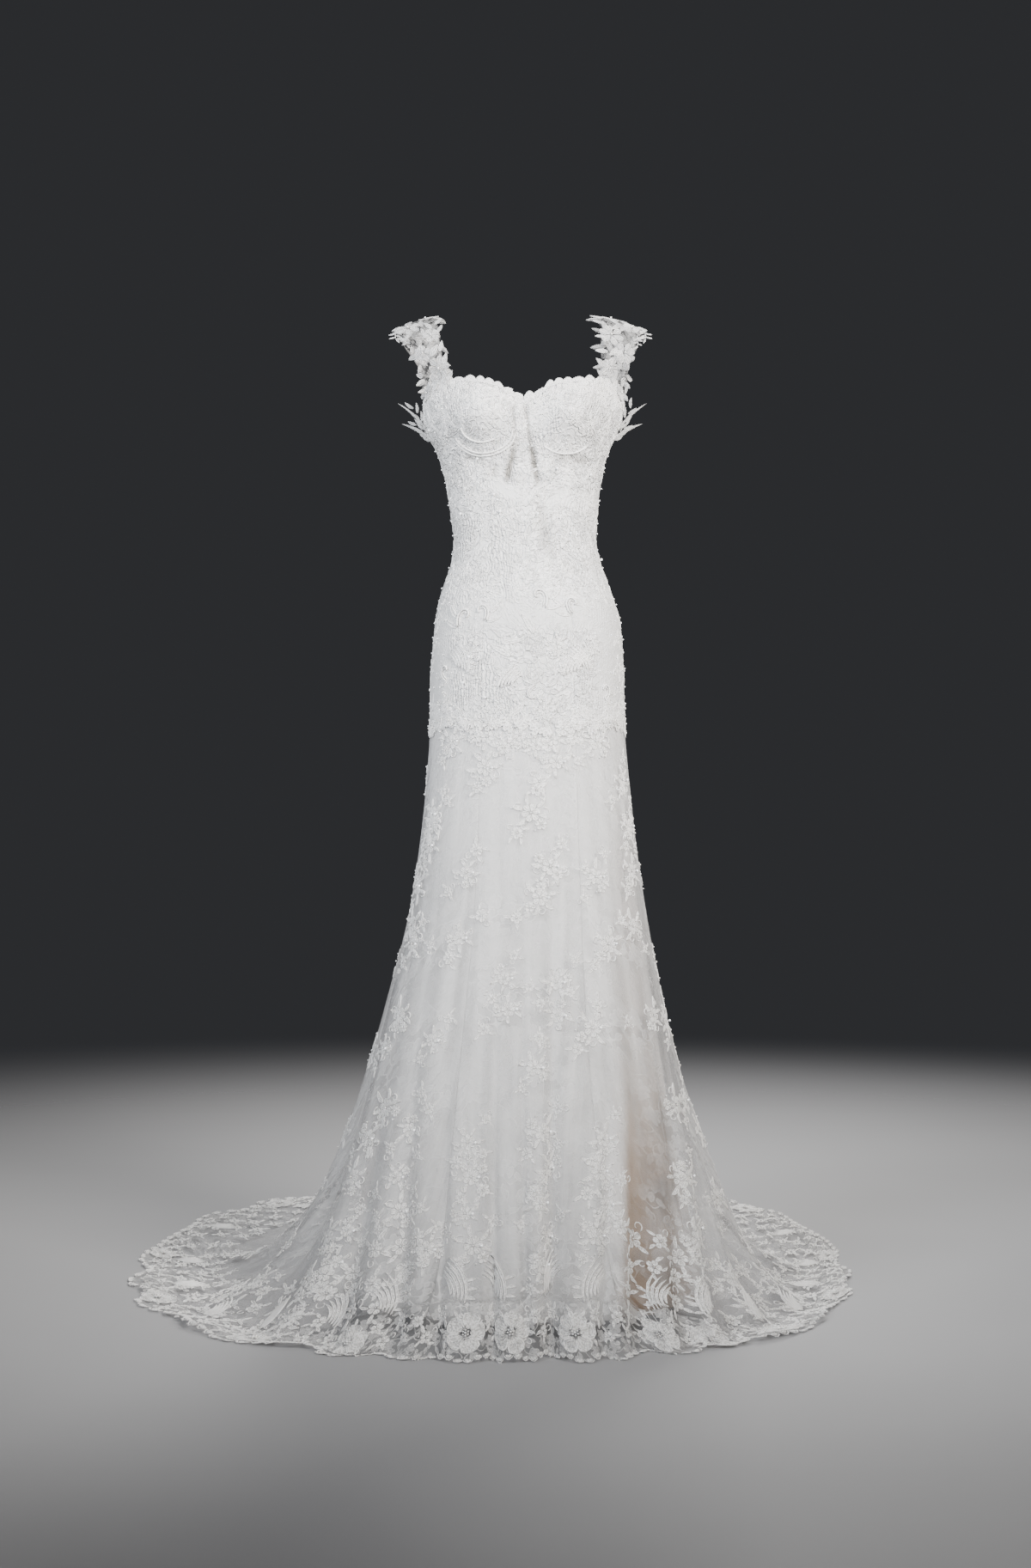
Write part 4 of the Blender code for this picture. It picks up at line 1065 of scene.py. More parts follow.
def scatter(chart, middle, top, foot, half_width, pitch, rng):
    """Places on a triangular grid a pitch apart, each moved by up to a quarter of it: rows from the top
    to the foot of the middle column, places to both sides of it out to half_width(down)."""
    start, end = chart.lengths(middle, top), chart.lengths(middle, foot)
    across, down = [], []
    for row, length in enumerate(np.arange(start, end, 0.87 * pitch)):
        reach = half_width(chart.below(middle, length).item())
        count = max(int(2 * reach / pitch), 1)
        beside = (np.arange(count) - (count - 1) / 2 + (0.25 if row % 2 else -0.25)) * pitch
        beside = beside + pitch * rng.uniform(-0.25, 0.25, count)
        below = chart.below(middle, length + pitch * rng.uniform(-0.2, 0.2, count))
        across.append(chart.beside(middle, below, beside))
        down.append(below)
    return np.concatenate(across), np.concatenate(down)


def strew(work, chart, shapes, across, down, rng, sizes=(0.85, 1.15), lift=0.0, size=1.0):
    """Stitch one of the shapes at each place, chosen, turned and sized at random."""
    pick = rng.integers(len(shapes), size=len(across))
    turn = rng.uniform(0, 2 * pi, len(across))
    grown = size * rng.uniform(*sizes, len(across))
    for n, shape in enumerate(shapes):
        here = pick == n
        work.stitch(chart, shape, across[here], down[here], turn[here], grown[here], lift)


# Finishes


class Wire:
    """A node's output. Arithmetic on it adds Math nodes."""

    def __init__(self, finish, socket):
        self.finish, self.socket = finish, socket

    def maths(self, operation, other=0.0):
        """A Math node on this value and another."""
        return self.finish.node("ShaderNodeMath", {"operation": operation}, {0: self, 1: other})

    def __rsub__(self, other):
        return self.finish.node("ShaderNodeMath", {"operation": "SUBTRACT"}, {0: other, 1: self})

    __add__ = __radd__ = partialmethod(maths, "ADD")
    __mul__ = __rmul__ = partialmethod(maths, "MULTIPLY")
    __sub__ = partialmethod(maths, "SUBTRACT")
    __truediv__ = partialmethod(maths, "DIVIDE")
    __pow__ = partialmethod(maths, "POWER")
    __abs__ = partialmethod(maths, "ABSOLUTE")
    sine = partialmethod(maths, "SINE")
    cosine = partialmethod(maths, "COSINE")
    most = partialmethod(maths, "MAXIMUM")

    def ramp(self, low, high):
        """0 at low, 1 at high, smooth between; low may be the greater."""
        if low > high:
            return 1 - self.ramp(high, low)
        sockets = {"Value": self, "From Min": low, "From Max": high}
        return self.finish.node("ShaderNodeMapRange", {"interpolation_type": "SMOOTHSTEP"}, sockets)

    def output(self, name):
        """Another output of the same node."""
        return Wire(self.finish, self.socket.node.outputs[name])


class Finish:
    """A material and its nodes. Settings of its shader are sockets' values unless they vary."""

    def __init__(self, name):
        self.made = bpy.data.materials.new(name)
        self.made.use_nodes = True
        self.tree = self.made.node_tree
        self.shader = next(n for n in self.tree.nodes if n.type == "BSDF_PRINCIPLED")

    def node(self, kind, settings=None, sockets=None, output=0):
        """A node of a kind: its settings first, then the values or links of its sockets."""
        made = self.tree.nodes.new(kind)
        for name, value in (settings or {}).items():
            setattr(made, name, value)
        for name, value in (sockets or {}).items():
            self.join(made.inputs[name], value)
        return Wire(self, made.outputs[output])

    def join(self, socket, value):
        """Link a wire to a socket, or set the socket's own value."""
        if isinstance(value, Wire):
            self.tree.links.new(value.socket, socket)
        elif socket.type == "RGBA":
            socket.default_value = (*value[:3], 1.0)
        elif socket.type in {"VALUE", "VECTOR"}:
            socket.default_value = value

    def set(self, **sockets):
        """Feed the shader: base_color=..., sheen_weight=... and so on."""
        for name, value in sockets.items():
            self.join(self.shader.inputs[name.replace("_", " ").title()], value)

    def place(self, which="Object"):
        """A point's own place: the piece's Object coordinates, or the place on its cut cloth."""
        if which == "Object":
            return self.node("ShaderNodeTexCoord", output="Object")
        return self.node("ShaderNodeUVMap", {"uv_map": which})

    def parts(self, vector):
        """The x of a vector, with outputs "Y" and "Z" beside it."""
        return self.node("ShaderNodeSeparateXYZ", {}, {0: vector})

    def drawn(self, name):
        """A value that the piece holds for each of its points."""
        return self.node("ShaderNodeAttribute", {"attribute_name": name}, output="Fac")

    def vector(self, operation, first, second=(0.0, 0.0, 0.0), output="Vector"):
        return self.node("ShaderNodeVectorMath", {"operation": operation}, {0: first, 1: second}, output)

    def noise(self, place, size, detail=1.0):
        return self.node("ShaderNodeTexNoise", {}, {"Vector": place, "Scale": 1 / size, "Detail": detail})

    def blend(self, factor, first, second):
        """Mix of two colours."""
        return self.node("ShaderNodeMix", {"data_type": "RGBA"}, {0: factor, 6: first, 7: second}, output=2)

    def paint(self, factor, first, second, **sockets):
        """Colour the shader with a mix of two colours, and feed its other sockets."""
        self.set(base_color=self.blend(factor, first, second), **sockets)

    def bump(self, height, distance):
        sockets = {"Height": height, "Distance": distance, "Strength": 1.0}
        self.set(normal=self.node("ShaderNodeBump", {}, sockets))


# A whole turn in radians, as closely as the finishes need it
TURN = 6.283


def kept(make):
    """The finish that a function describes is made the first time it is asked for."""
    @cache
    def finish():
        look = Finish(make.__name__)
        make(look, bpy.context.scene.gown_colours)
        return look.made

    return finish


def strewn(finish, place, size):
    """The way to each place from the middle of its cell, and the cell's random turn."""
    sockets = {"Vector": place, "Scale": 1 / size, "Randomness": 0.8}
    cell = finish.node("ShaderNodeTexVoronoi", {"voronoi_dimensions": "2D"}, sockets)
    random = finish.node("ShaderNodeSeparateColor", {}, {0: cell.output("Color")})
    return finish.vector("SUBTRACT", place, cell.output("Position")), random * TURN


def flowers(finish, place, size):
    """Masks of five-petalled flowers, one in each cell, turned at random: cloth within the edge
    r = size * (0.20 + 0.16 |cos(2.5 angle)|), a cord along it, and ribs."""
    away, turn = strewn(finish, place, size)
    parts = finish.parts(away)
    angle = parts.output("Y").maths("ARCTAN2", parts) + turn
    radius = finish.vector("LENGTH", away, output="Value")
    edge = size * (0.20 + 0.16 * abs((angle * 2.5).cosine()))
    inside = (radius - edge).ramp(0.02 * size, -0.02 * size)
    rim = abs(radius - edge).ramp(0.045 * size, 0.015 * size)
    ribs = (angle * 15.0).sine() * 0.5 + 0.5
    middle = radius.ramp(0.09 * size, 0.05 * size)
    return inside, rim.most(middle), inside * ribs


def leaves(finish, place, size, shift):
    """Masks of pointed leaves, one in each cell, turned at random: |y| < b (1 - (x/a)^2), with a cord
    along the edge and a vein along the middle."""
    away, turn = strewn(finish, finish.vector("ADD", place, shift), size)
    sockets = {"Vector": away, "Angle": turn}
    x = finish.parts(finish.node("ShaderNodeVectorRotate", {"rotation_type": "Z_AXIS"}, sockets))
    y = x.output("Y")
    over = abs(y) / size - 0.17 * (1 - (x / (0.44 * size)) ** 2)
    inside = over.ramp(0.02, -0.02)
    rim = abs(over).ramp(0.045, 0.015)
    vein = (abs(y) / size).ramp(0.03, 0.012) * inside
    return inside, rim.most(vein)


def wandering_cord(finish, place, size, width):
    """Mask of cords that wander over the cloth: where smooth noise is close to a half."""
    return abs(finish.noise(place, size, 0.0) - 0.5).ramp(width, 0.4 * width)


def embroidery(finish, place, size):
    """Thread cover from 0 to 1, and its height: flowers, leaves and wandering cords."""
    petals, petal_cord, ribs = flowers(finish, place, size)
    blades, leaf_cord = leaves(finish, place, 0.62 * size, (0.37 * size, 0.21 * size, 0.0))
    vine = wandering_cord(finish, place, 0.8 * size, 0.022)
    cords = petal_cord.most(leaf_cord).most(vine)
    fill = petals.most(blades)
    return cords.most(fill * 0.62), cords + fill * 0.35 + ribs * 0.2


@kept
def bodice_cloth(finish, colours):
    """Close-lined lace, raised along its cords and in fine upright lines, with small open places; it
    thins out below the waist, and painted shade darkens it in the gathers."""
    place = finish.place("Cut")
    there = finish.parts(finish.place())
    up = there.output("Z")
    hips = abs(there).ramp(0.13, 0.09) * up.ramp(-0.46, -0.50)
    worked = (up.ramp(*WORKED_FROM) * 0.8 + 0.2).most(hips * 0.9)
    cover, height = embroidery(finish, place, 0.034)
    vine = wandering_cord(finish, place, 0.010, 0.10)
    lines = ((finish.parts(place) + finish.noise(place, 0.030) * 0.020) * (TURN / 0.0048)).sine() * 0.5 + 0.5
    lined = finish.noise(finish.vector("ADD", place, (0.3, 0.1, 0.0)), 0.05).ramp(0.42, 0.58)
    worked = worked * finish.noise(finish.vector("ADD", place, (0.7, 0.4, 0.0)), 0.07).ramp(0.24, 0.40)
    cover = cover.most(vine * 0.9).most(lines * lined * 0.8) * worked
    opened = finish.noise(place, 0.020, 2.0).ramp(0.56, 0.70) * worked
    plain = finish.blend(up.ramp(*WORKED_FROM), colours.hip_ground, colours.ground)
    ground = finish.blend(opened, plain, colours.ground_shade)
    lace_tone = finish.blend(cover, ground, colours.thread)
    # Painted shade: the "tint" attribute, 1 in deep creases, darkens the lace towards the gathers colour
    finish.paint(finish.drawn("tint") * 0.85, lace_tone, colours.gathers)
    finish.set(roughness=0.62 - 0.12 * cover, sheen_weight=0.2, sheen_roughness=0.4)
    raised = (height + vine + lines * lined) * worked
    finish.bump(raised + 0.2 * finish.noise(place, 0.0012), 0.0016)


def streaks(finish, place):
    """Long uneven streaks down the cloth, from 0 to 1: noise drawn out along its length."""
    return finish.noise(finish.vector("MULTIPLY", place, (1.0, 0.06, 1.0)), 0.022, 3.0).ramp(0.25, 0.75)


def lift_off(finish):
    """1 on cloth that hangs clear of the floor, 0 where it lies on it."""
    return finish.parts(finish.place()).output("Z").ramp(FLOOR + 0.02, FLOOR + 0.16)


@kept
def net_cloth(finish, colours):
    """Sheer net, milky and streaked, with faint sprigs worked into it here and there; it is clearer
    where it lies on the floor and where "tint" is 1, and has painted shade deep in the folds."""
    place = finish.place("Cut")
    cover, height = embroidery(finish, place, 0.036)
    worked = finish.noise(place, 0.14).ramp(0.42, 0.60)
    streak = streaks(finish, place)
    cover = cover * (0.05 + 0.20 * worked)
    # The streaks vary the net's sheerness, and their darker tone is partly painted shade of soft folds
    tone = finish.blend(streak, colours.net_shade, colours.net)
    fold_shade, clear = finish.drawn("fold"), finish.drawn("tint")
    worked_tone = finish.blend(cover * 1.5, tone, colours.thread)
    # Painted shade: the "fold" attribute darkens the net deep in the folds, and also makes it a little less
    # clear there
    finish.paint(fold_shade * 0.55, worked_tone, colours.fold_shade)
    milk = 0.17 + 0.19 * streak + 0.05 * finish.noise(place, 0.003)
    milk = milk * (0.22 + 0.78 * lift_off(finish)) * (1 - 0.80 * clear)
    finish.set(alpha=milk + cover * (1 - 0.5 * clear) + 0.15 * fold_shade * (1 - clear))
    finish.set(roughness=0.66 - 0.1 * cover, sheen_weight=0.15)
    finish.bump(height * 0.5 + 0.3 * finish.noise(place, 0.0015), 0.0005)


@kept
def hem_cloth(finish, colours):
    """Hem lace: the net with close embroidery."""
    place = finish.place("Cut")
    cover, height = embroidery(finish, place, 0.024)
    finish.paint(cover, colours.net_shade, colours.thread)
    finish.set(alpha=0.06 + 0.50 * lift_off(finish) + 0.34 * cover)
    finish.set(roughness=0.64 - 0.1 * cover, sheen_weight=0.2)
    finish.bump(height + 0.2 * finish.noise(place, 0.0015), 0.0008)


def worked_ground(finish, size, ground, thread, rise):
    """Embroidery of one size on a ground; returns its cover."""
    cover, height = embroidery(finish, finish.place("Cut"), size)
    finish.paint(cover, ground, thread, roughness=0.6, sheen_weight=0.2)
    finish.bump(height, rise)
    return cover


@kept
def strap_cloth(finish, colours):
    """Open ground of the straps, sheer between its flowers."""
    finish.set(alpha=0.01 + 0.14 * worked_ground(finish, 0.016, colours.net, colours.thread, 0.0005))


@kept
def edging_cloth(finish, colours):
    """Close lace of the neck edging."""
    worked_ground(finish, 0.010, colours.ground, colours.thread, 0.0004)


@kept
def satin(finish, colours):
    """Lining satin: ivory where "tint" is 0, champagne where it is 1, with a fine weft. Full champagne in
    the front strip is partly painted shade of a fold.
    """
    place = finish.place("Cut")
    tint, drift = finish.drawn("tint"), finish.noise(place, 0.15, 2.0)
    colour = finish.blend(tint, colours.satin, colours.champagne)
    shade = finish.blend(tint, colours.satin_shade, colours.champagne_shade)
    finish.paint(drift.ramp(0.3, 0.7) * 0.5, colour, shade)
    finish.set(roughness=0.38 + 0.1 * drift, sheen_weight=0.15)
    weft = (finish.parts(place).output("Y") * (TURN / 0.0016)).sine()
    finish.bump(0.4 * weft + finish.noise(place, 0.004, 2.0), 0.00012)


def twisted(finish):
    """Raises the fine grain of a twisted thread."""
    finish.bump(finish.noise(finish.place(), 0.0011, 2.0), 0.0003)


def raised_bars(finish):
    """Close bars of filling stitches, from 0 to 1, and raises them."""
    bars = finish.noise(finish.place(), 0.0026).ramp(0.42, 0.58)
    finish.bump(bars, 0.0004)
    return bars


@kept
def lace_thread(finish, colours):
    """Cord and close stitches of twisted cotton, uneven in tone."""
    tone = finish.noise(finish.place(), 0.018, 3.0).ramp(0.3, 0.7)
    finish.paint(tone, colours.thread_shade, colours.thread)
    finish.set(roughness=0.5 + 0.12 * tone, sheen_weight=0.3, sheen_roughness=0.35)
    twisted(finish)


@kept
def lace_fill(finish, colours):
    """Filling stitches inside petals and leaves."""
    bars = raised_bars(finish)
    finish.paint(bars, colours.thread_shade, colours.thread)
    finish.set(alpha=0.48 + 0.40 * bars, roughness=0.62 - 0.08 * bars, sheen_weight=0.2)


@kept
def sheer_thread(finish, colours):
    """Thin cord that lets what is behind it through."""
    worn = finish.noise(finish.place(), 0.020).ramp(0.35, 0.65)
    finish.paint(worn, colours.net_shade, colours.ground)
    finish.set(alpha=0.48 + 0.30 * worn, roughness=0.6, sheen_weight=0.2)
    twisted(finish)


@kept
def sheer_fill(finish, colours):
    """Thin filling stitches of the straps and sprigs."""
    alpha = 0.34 + 0.24 * raised_bars(finish)
    finish.set(base_color=colours.ground_shade, alpha=alpha, roughness=0.6, sheen_weight=0.2)


@kept
def pearl(finish, colours):
    """Small pearl beads with a milky coat."""
    tone = finish.noise(finish.place(), 0.006).ramp(0.35, 0.65)
    finish.paint(tone, colours.pearl, colours.crystal, roughness=0.22 + 0.1 * tone)
    finish.set(coat_weight=0.7, coat_roughness=0.08)


@kept
def crystal(finish, colours):
    """Faceted crystals and sequins that catch the light, with a painted glow: they also give off light of
    their own colour.
    """
    glint = finish.noise(finish.place(), 0.003, 0.0).ramp(0.4, 0.6)
    finish.set(base_color=colours.crystal, roughness=0.06 + 0.18 * glint, coat_weight=1.0)
    # Painted glow: the crystals emit light though they are no lamp
    finish.set(emission_color=colours.crystal, emission_strength=0.9)


@kept
def button_satin(finish, colours):
    """Satin pulled over the buttons."""
    place = finish.place()
    tone = finish.noise(place, 0.004, 2.0)
    finish.paint(tone.ramp(0.3, 0.7), colours.satin_shade, colours.satin)
    finish.set(roughness=0.36 + 0.1 * tone, sheen_weight=0.2)
    finish.bump(finish.noise(place, 0.0009), 0.00015)


@kept
def studio_floor(finish, colours):
    """Pale matt floor that fades into the background far from the gown."""
    place = finish.place()
    away = finish.vector("LENGTH", place, output="Value")
    tone = finish.noise(place, 0.9, 3.0).ramp(0.3, 0.7)
    pale, shade = colours.floor, [0.96 * c for c in colours.floor]
    finish.paint(tone, pale, shade, roughness=0.75 + 0.06 * tone)
    finish.set(alpha=away.ramp(FLOOR_FADE[1], FLOOR_FADE[0]))


# Sizes and colours


def measure(name, description, default, low, high):
    """A length in metres."""
    return FloatProperty(
        name=name, description=description, default=default, min=low, max=high, unit="LENGTH", precision=4
    )


def scale(name, description, default):
    """A factor on a nominal size."""
    return FloatProperty(
        name=name, description=description, default=default, min=0.5, max=1.5, subtype="FACTOR"
    )


def colour(name, description, default):
    return FloatVectorProperty(
        name=name, description=description, default=default, size=3, min=0, max=1, subtype="COLOR"
    )


class GownSizes(bpy.types.PropertyGroup):
    """Sizes of the gown's cloth and lace."""

    bodice_wall: measure("Bodice cloth", "Thickness of the bodice's lined lace", 0.0016, 0.0005, 0.003)
    satin_wall: measure("Satin", "Thickness of the lining", 0.0006, 0.0003, 0.002)
    net_wall: measure("Net", "Thickness of the overskirt", 0.0007, 0.0003, 0.002)
    lace_pitch: measure("Bodice lace pitch", "Distance between the bodice's sprays", 0.042, 0.020, 0.060)
    train_pitch: measure("Train lace pitch", "Distance between the train's sprays", 0.052, 0.030, 0.100)
    net_pitch: measure("Net lace pitch", "Distance between the overskirt's small sprays", 0.120, 0.050, 0.200)
    garland_size: scale("Garland size", "Size of the garlands' flowers", 1.0)
    flower_size: scale("Hem flower size", "Size of the flowers on the hem", 1.0)
    seed: IntProperty(name="Seed", description="Changes where the small lace falls", default=11, min=0)


class GownColours(bpy.types.PropertyGroup):
    """Colours of the gown and its stage."""

    thread: colour("Thread", "Ivory lace thread", (0.965, 0.955, 0.945))
    thread_shade: colour("Thread shade", "Lace thread at its darkest", (0.88, 0.865, 0.845))
    ground: colour("Lace ground", "Lined cloth between the bodice's threads", (0.84, 0.835, 0.83))
    ground_shade: colour("Lace ground shade", "The same cloth in the open places", (0.70, 0.695, 0.69))
    hip_ground: colour("Hip ground", "Lined cloth below the waist", (0.72, 0.715, 0.71))
    # Painted shade: the colour the bodice darkens to deep in the gathers
    gathers: colour("Gathers", "Cloth deep in the gathers", (0.22, 0.20, 0.17))
    net: colour("Net", "Sheer net of the overskirt", (0.90, 0.895, 0.895))
    # Between the streaks this darker net is partly painted shade of soft folds
    net_shade: colour("Net shade", "The same net between its streaks", (0.68, 0.68, 0.69))
    # Painted shade of the net deep in the folds
    fold_shade: colour("Folds", "Net deep in the folds", (0.40, 0.39, 0.385))
    satin: colour("Ivory satin", "Lining at the front", (0.86, 0.85, 0.84))
    satin_shade: colour("Ivory satin shade", "The same satin where it is darker", (0.78, 0.765, 0.75))
    # Full champagne is partly painted shade where it fills the front strip
    champagne: colour("Champagne satin", "Lining at the side and back", (0.385, 0.275, 0.195))
    champagne_shade: colour("Champagne shade", "The same satin where it is darker", (0.295, 0.212, 0.148))
    pearl: colour("Pearl", "Pearl beads", (0.90, 0.87, 0.82))
    # Also the colour of the crystals' painted glow
    crystal: colour("Crystal", "Crystals and sequins", (0.95, 0.96, 0.98))
    floor: colour("Floor", "Studio floor", (0.36, 0.36, 0.37))
    backdrop: colour("Background", "Studio background", (0.030, 0.031, 0.034))


# Pieces


def sizes():
    """The scene's sizes of the gown."""
    return bpy.context.scene.gown_sizes


def lace():
    """The finishes of a lace piece, in the order of THREAD, FILL and BEAD."""
    return [lace_thread(), lace_fill(), pearl()]


def sheer_lace():
    """The same for lace that stands clear of any cloth."""
    return [sheer_thread(), sheer_fill(), pearl()]


def net_lift():
    """How far lace stands off the middle of the net, just sunk in its face."""
    return sizes().net_wall / 2 - 0.0002


def randomly(number):
    """Random numbers of one piece's own, the same each run."""
    return np.random.default_rng([sizes().seed, number])


def hip_lobes(angle):
    """How far the bodice's lace hangs below the hip seam: uneven lobes, |sin| times a slow wave."""
    lobes = np.abs(np.sin(9.5 * angle + 1.2 * np.sin(3 * angle)))
    return 0.003 + 0.012 * lobes * (0.55 + 0.45 * np.sin(4 * angle + 1))


class GOWN_OT_bodice(bpy.types.Operator):
    """Seven princess panels of lined lace, from the neck edging to the hip seam"""

    bl_idname = "gown.bodice"
    bl_label = "Bodice panels"

    def execute(self, context):
        for name, start, end, _ in panel_spans():
            columns = int(BODICE_COLUMNS * (end - start)) * (2 if name == "front_centre" else 1)
            angle = np.linspace(start, end, columns + 1)[None, :]
            top, foot = -neckline(angle), hip_lobes(angle) - SKIRT_SEAM
            depth = top + (foot - top) * np.linspace(0, 1, BODICE_ROWS + 1)[:, None]
            angle = angle + 0 * depth
            clear = SEAM_CLEAR + (SEAM_CLEAR_BACK - SEAM_CLEAR) * ramp(np.abs(angle), *SEAM_CLEAR_TURN)
            grid = BODICE.raised(angle, depth, clear * ramp(depth, -SKIRT_SEAM - 0.03, -SKIRT_SEAM))
            flat = stacked(BODICE.span(0.0, angle, depth), -BODICE.lengths(angle, depth))
            # Painted shade: tint is 1 where the creases in front are deep, and darkens the cloth there
            tint = np.clip(gathers(grid[..., 0], grid[..., 2]) / SHADED_CREASE, 0, 1) * (grid[..., 1] < 0)
            finish, wall = bodice_cloth(), sizes().bodice_wall
            cloth(f"cloth_{name}", f"bodice_{name}", grid, flat, finish, "bodice_lace", wall, tint=tint)
        return {"FINISHED"}


def spray_places(rng):
    """Places of the bodice's small sprays: clear of the neck, the hips in front, the buttons, the
    gathers and the plain patches, with a few left out where two waves are both low."""
    def half_round(down):
        return BODICE.span(0.0, pi, down).item()

    angle, depth = scatter(BODICE, 0.0, 0.10, SPRAYS_FOOT, half_round, sizes().lace_pitch, rng)
    turn = np.abs(angle)
    points = bodice(angle, depth)
    clear = np.sin(61 * angle * 0.15 + 3) + np.sin(47 * depth + 9 * angle) > -1.6
    clear &= (depth + neckline(angle) > NECK_CLEAR) & (depth < SPRAYS_FOOT) & (pi - turn > BUTTONS_CLEAR)
    clear &= gathers(points[..., 0], -depth) <= 0.3 * SHADED_CREASE
    clear &= (turn >= FRONT_TURN) | (depth <= SPRAYS_END)
    seen = as_seen(points)
    for x, height, radius in PLAIN_PATCHES:
        away = np.hypot(seen[:, 0] - x, seen[:, 1] - height)
        clear &= (away > radius) | (turn > pi / 2)
    return angle[clear], depth[clear]


class GOWN_OT_bodice_lace(bpy.types.Operator):
    """Small sprays all over the bodice, scrolls over the hips, cords under the cups, and sequins"""

    bl_idname = "gown.bodice_lace"
    bl_label = "Bodice lace"

    def execute(self, context):
        rng = randomly(1)
        lift = sizes().bodice_wall / 2 - 0.0003
        angle, depth = spray_places(rng)
        front = np.abs(angle) < pi / 2
        for half, tag in ((front, "front"), (~front, "back")):
            work = Piecework()
            small = [fine_posy(0.020, seed) for seed in range(6)]
            strew(work, BODICE, small, angle[half], depth[half], rng, lift=lift)
            work.made(f"bodice_sprays_{tag}", "bodice_lace")

        work = Piecework()
        shapes = {
            "plume": plume(0.055, 1.1), "hook": hook(0.050), "flower": applique(0.020, 90),
            "leaf": leaf(0.030, 0.010, 0.6),
        }
        for kind, x, height, size, turn, way in HIP_SCROLLS:
            shape = shapes[kind] if way > 0 else shapes[kind].mirrored()
            place = in_front(BODICE, [(x, height)], 1.5, 0.30, BODICE_FOOT)
            work.stitch(BODICE, shape, *place, radians(turn), 1.1 * size, lift + 0.0009)
        work.made("hip_scrolls", "bodice_lace")

        work = Piecework()
        drop = [applique(0.024, seed) for seed in range(60, 66)]
        share = (np.arange(HIP_DROPS) + 0.5) / (HIP_DROPS / 2) - 1
        level = 0.08 + 0.22 * np.cos(7 * share) + rng.uniform(-0.12, 0.12, HIP_DROPS)
        strew(work, SKIRT, drop, share, level, rng, (0.8, 1.25), lift)
        angle = np.linspace(-pi, pi, HIP_SHELLS, endpoint=False) + rng.uniform(-0.01, 0.01, HIP_SHELLS)
        depth = -SKIRT_SEAM + hip_lobes(angle) + rng.uniform(-0.006, 0.002, HIP_SHELLS)
        small = [fine_rosette(0.0095), fan(0.013), fine_leaf(0.018, 0.0065, 0.8)]
        strew(work, BODICE, small, angle, depth, rng, (0.8, 1.3), lift + SEAM_CLEAR_BACK)
        work.made("hip_edge", "bodice_lace")

        work = Piecework()
        for side, radius, half_sweep, middle in CUP_CORDS:
            turn = np.radians(np.linspace(-half_sweep, half_sweep, 26) + middle)
            path = stacked(side * radius * np.sin(turn), -radius * np.cos(turn))
            place = in_front(BODICE, [(side * CUP_X, CUP_HEIGHT)], 1.2, 0.12, 0.3)
            work.stitch(BODICE, cord(path, 0.0013), *place, lift=lift + 0.0004)
        work.made("cup_cords", "bodice_lace")

        work = Piecework()
        place = in_front(BODICE, SPARKLES, 1.5, 0.14, BODICE_FOOT)
        work.stitch(BODICE, bead(0.0022, finish=THREAD), *place, lift=lift + 0.0012)
        angle, depth = scatter(BODICE, 0.0, 0.13, SPRAYS_FOOT, lambda down: 0.32, 0.030, rng)
        inside = depth + neckline(angle) > 0.01
        work.stitch(BODICE, bead(0.0011, finish=THREAD), angle[inside], depth[inside], lift=lift + 0.0009)
        work.made("bodice_crystals", "bodice_lace", [crystal()])
        return {"FINISHED"}


def edging_columns(start, end):
    """Angles of the neck edging's columns from start to end, in degrees, each with its scallop's wave
    |sin|^fullness, and the two ends of each scallop, all in radians."""
    ends, angles, waves = [], [], []
    for _, low, high, scallops in PANELS:
        low, scallops = (0, scallops // 2) if low < 0 else (low, scallops)
        if start <= low < end:
            bounds = np.radians(np.linspace(low, high, scallops + 1))
            ends.append(stacked(bounds[:-1], bounds[1:]))
            angles.append(np.radians(np.linspace(low, high, scallops * 8, endpoint=False)))
            waves.append(np.arange(scallops * 8) / 8)
    angle = np.r_[np.concatenate(angles), radians(end)]
    wave = np.abs(np.sin(pi * np.r_[np.concatenate(waves), 0])) ** SCALLOP_FULLNESS
    angle[0] += SEAM_GAP / WAIST
    angle[-1] -= SEAM_GAP / WAIST
    return angle, wave, np.concatenate(ends)


def edging_shells(name, side, ends):
    """A shell or a flower on each scallop between these ends, and two rows of petals below them."""
    work, rng = Piecework(), randomly(30 + side)
    ends = side * ends
    ends.sort(axis=1)
    low, high = ends.T
    wide = BODICE.widths(high, -neckline(high)) - BODICE.widths(low, -neckline(low))
    fall = BODICE.lengths(high, -neckline(high)) - BODICE.lengths(low, -neckline(low))
    middle, turn = (low + high) / 2, -np.arctan2(fall, wide)
    pick = rng.integers(3, size=len(middle))
    for n, shape in enumerate((scallop(SHELL_WIDTH), fine_rosette(0.0072), scallop(0.0120))):
        here = pick == n
        jitter = rng.uniform(-0.3, 0.3, here.sum())
        down = -neckline(middle[here]) + 0.001 - rng.uniform(0.0, 0.004, here.sum())
        grown = wide[here] / SHELL_WIDTH * rng.uniform(0.75, 1.35, here.sum())
        work.stitch(BODICE, shape, middle[here], down, turn[here] + jitter, grown, 0.0004)
    small = [fan(0.0085), fine_leaf(0.011, 0.0048, 0.7, rise=0.0010)]
    for row in (0.006, 0.013):
        angle = np.linspace(ends.min(), ends.max(), 2 * len(middle) + 1)[1:-1]
        down = -neckline(angle) + row + rng.uniform(-0.002, 0.002, len(angle))
        strew(work, BODICE, small, angle, down, rng, (0.8, 1.2), 0.0007)
    work.made(name, "lace_trim")


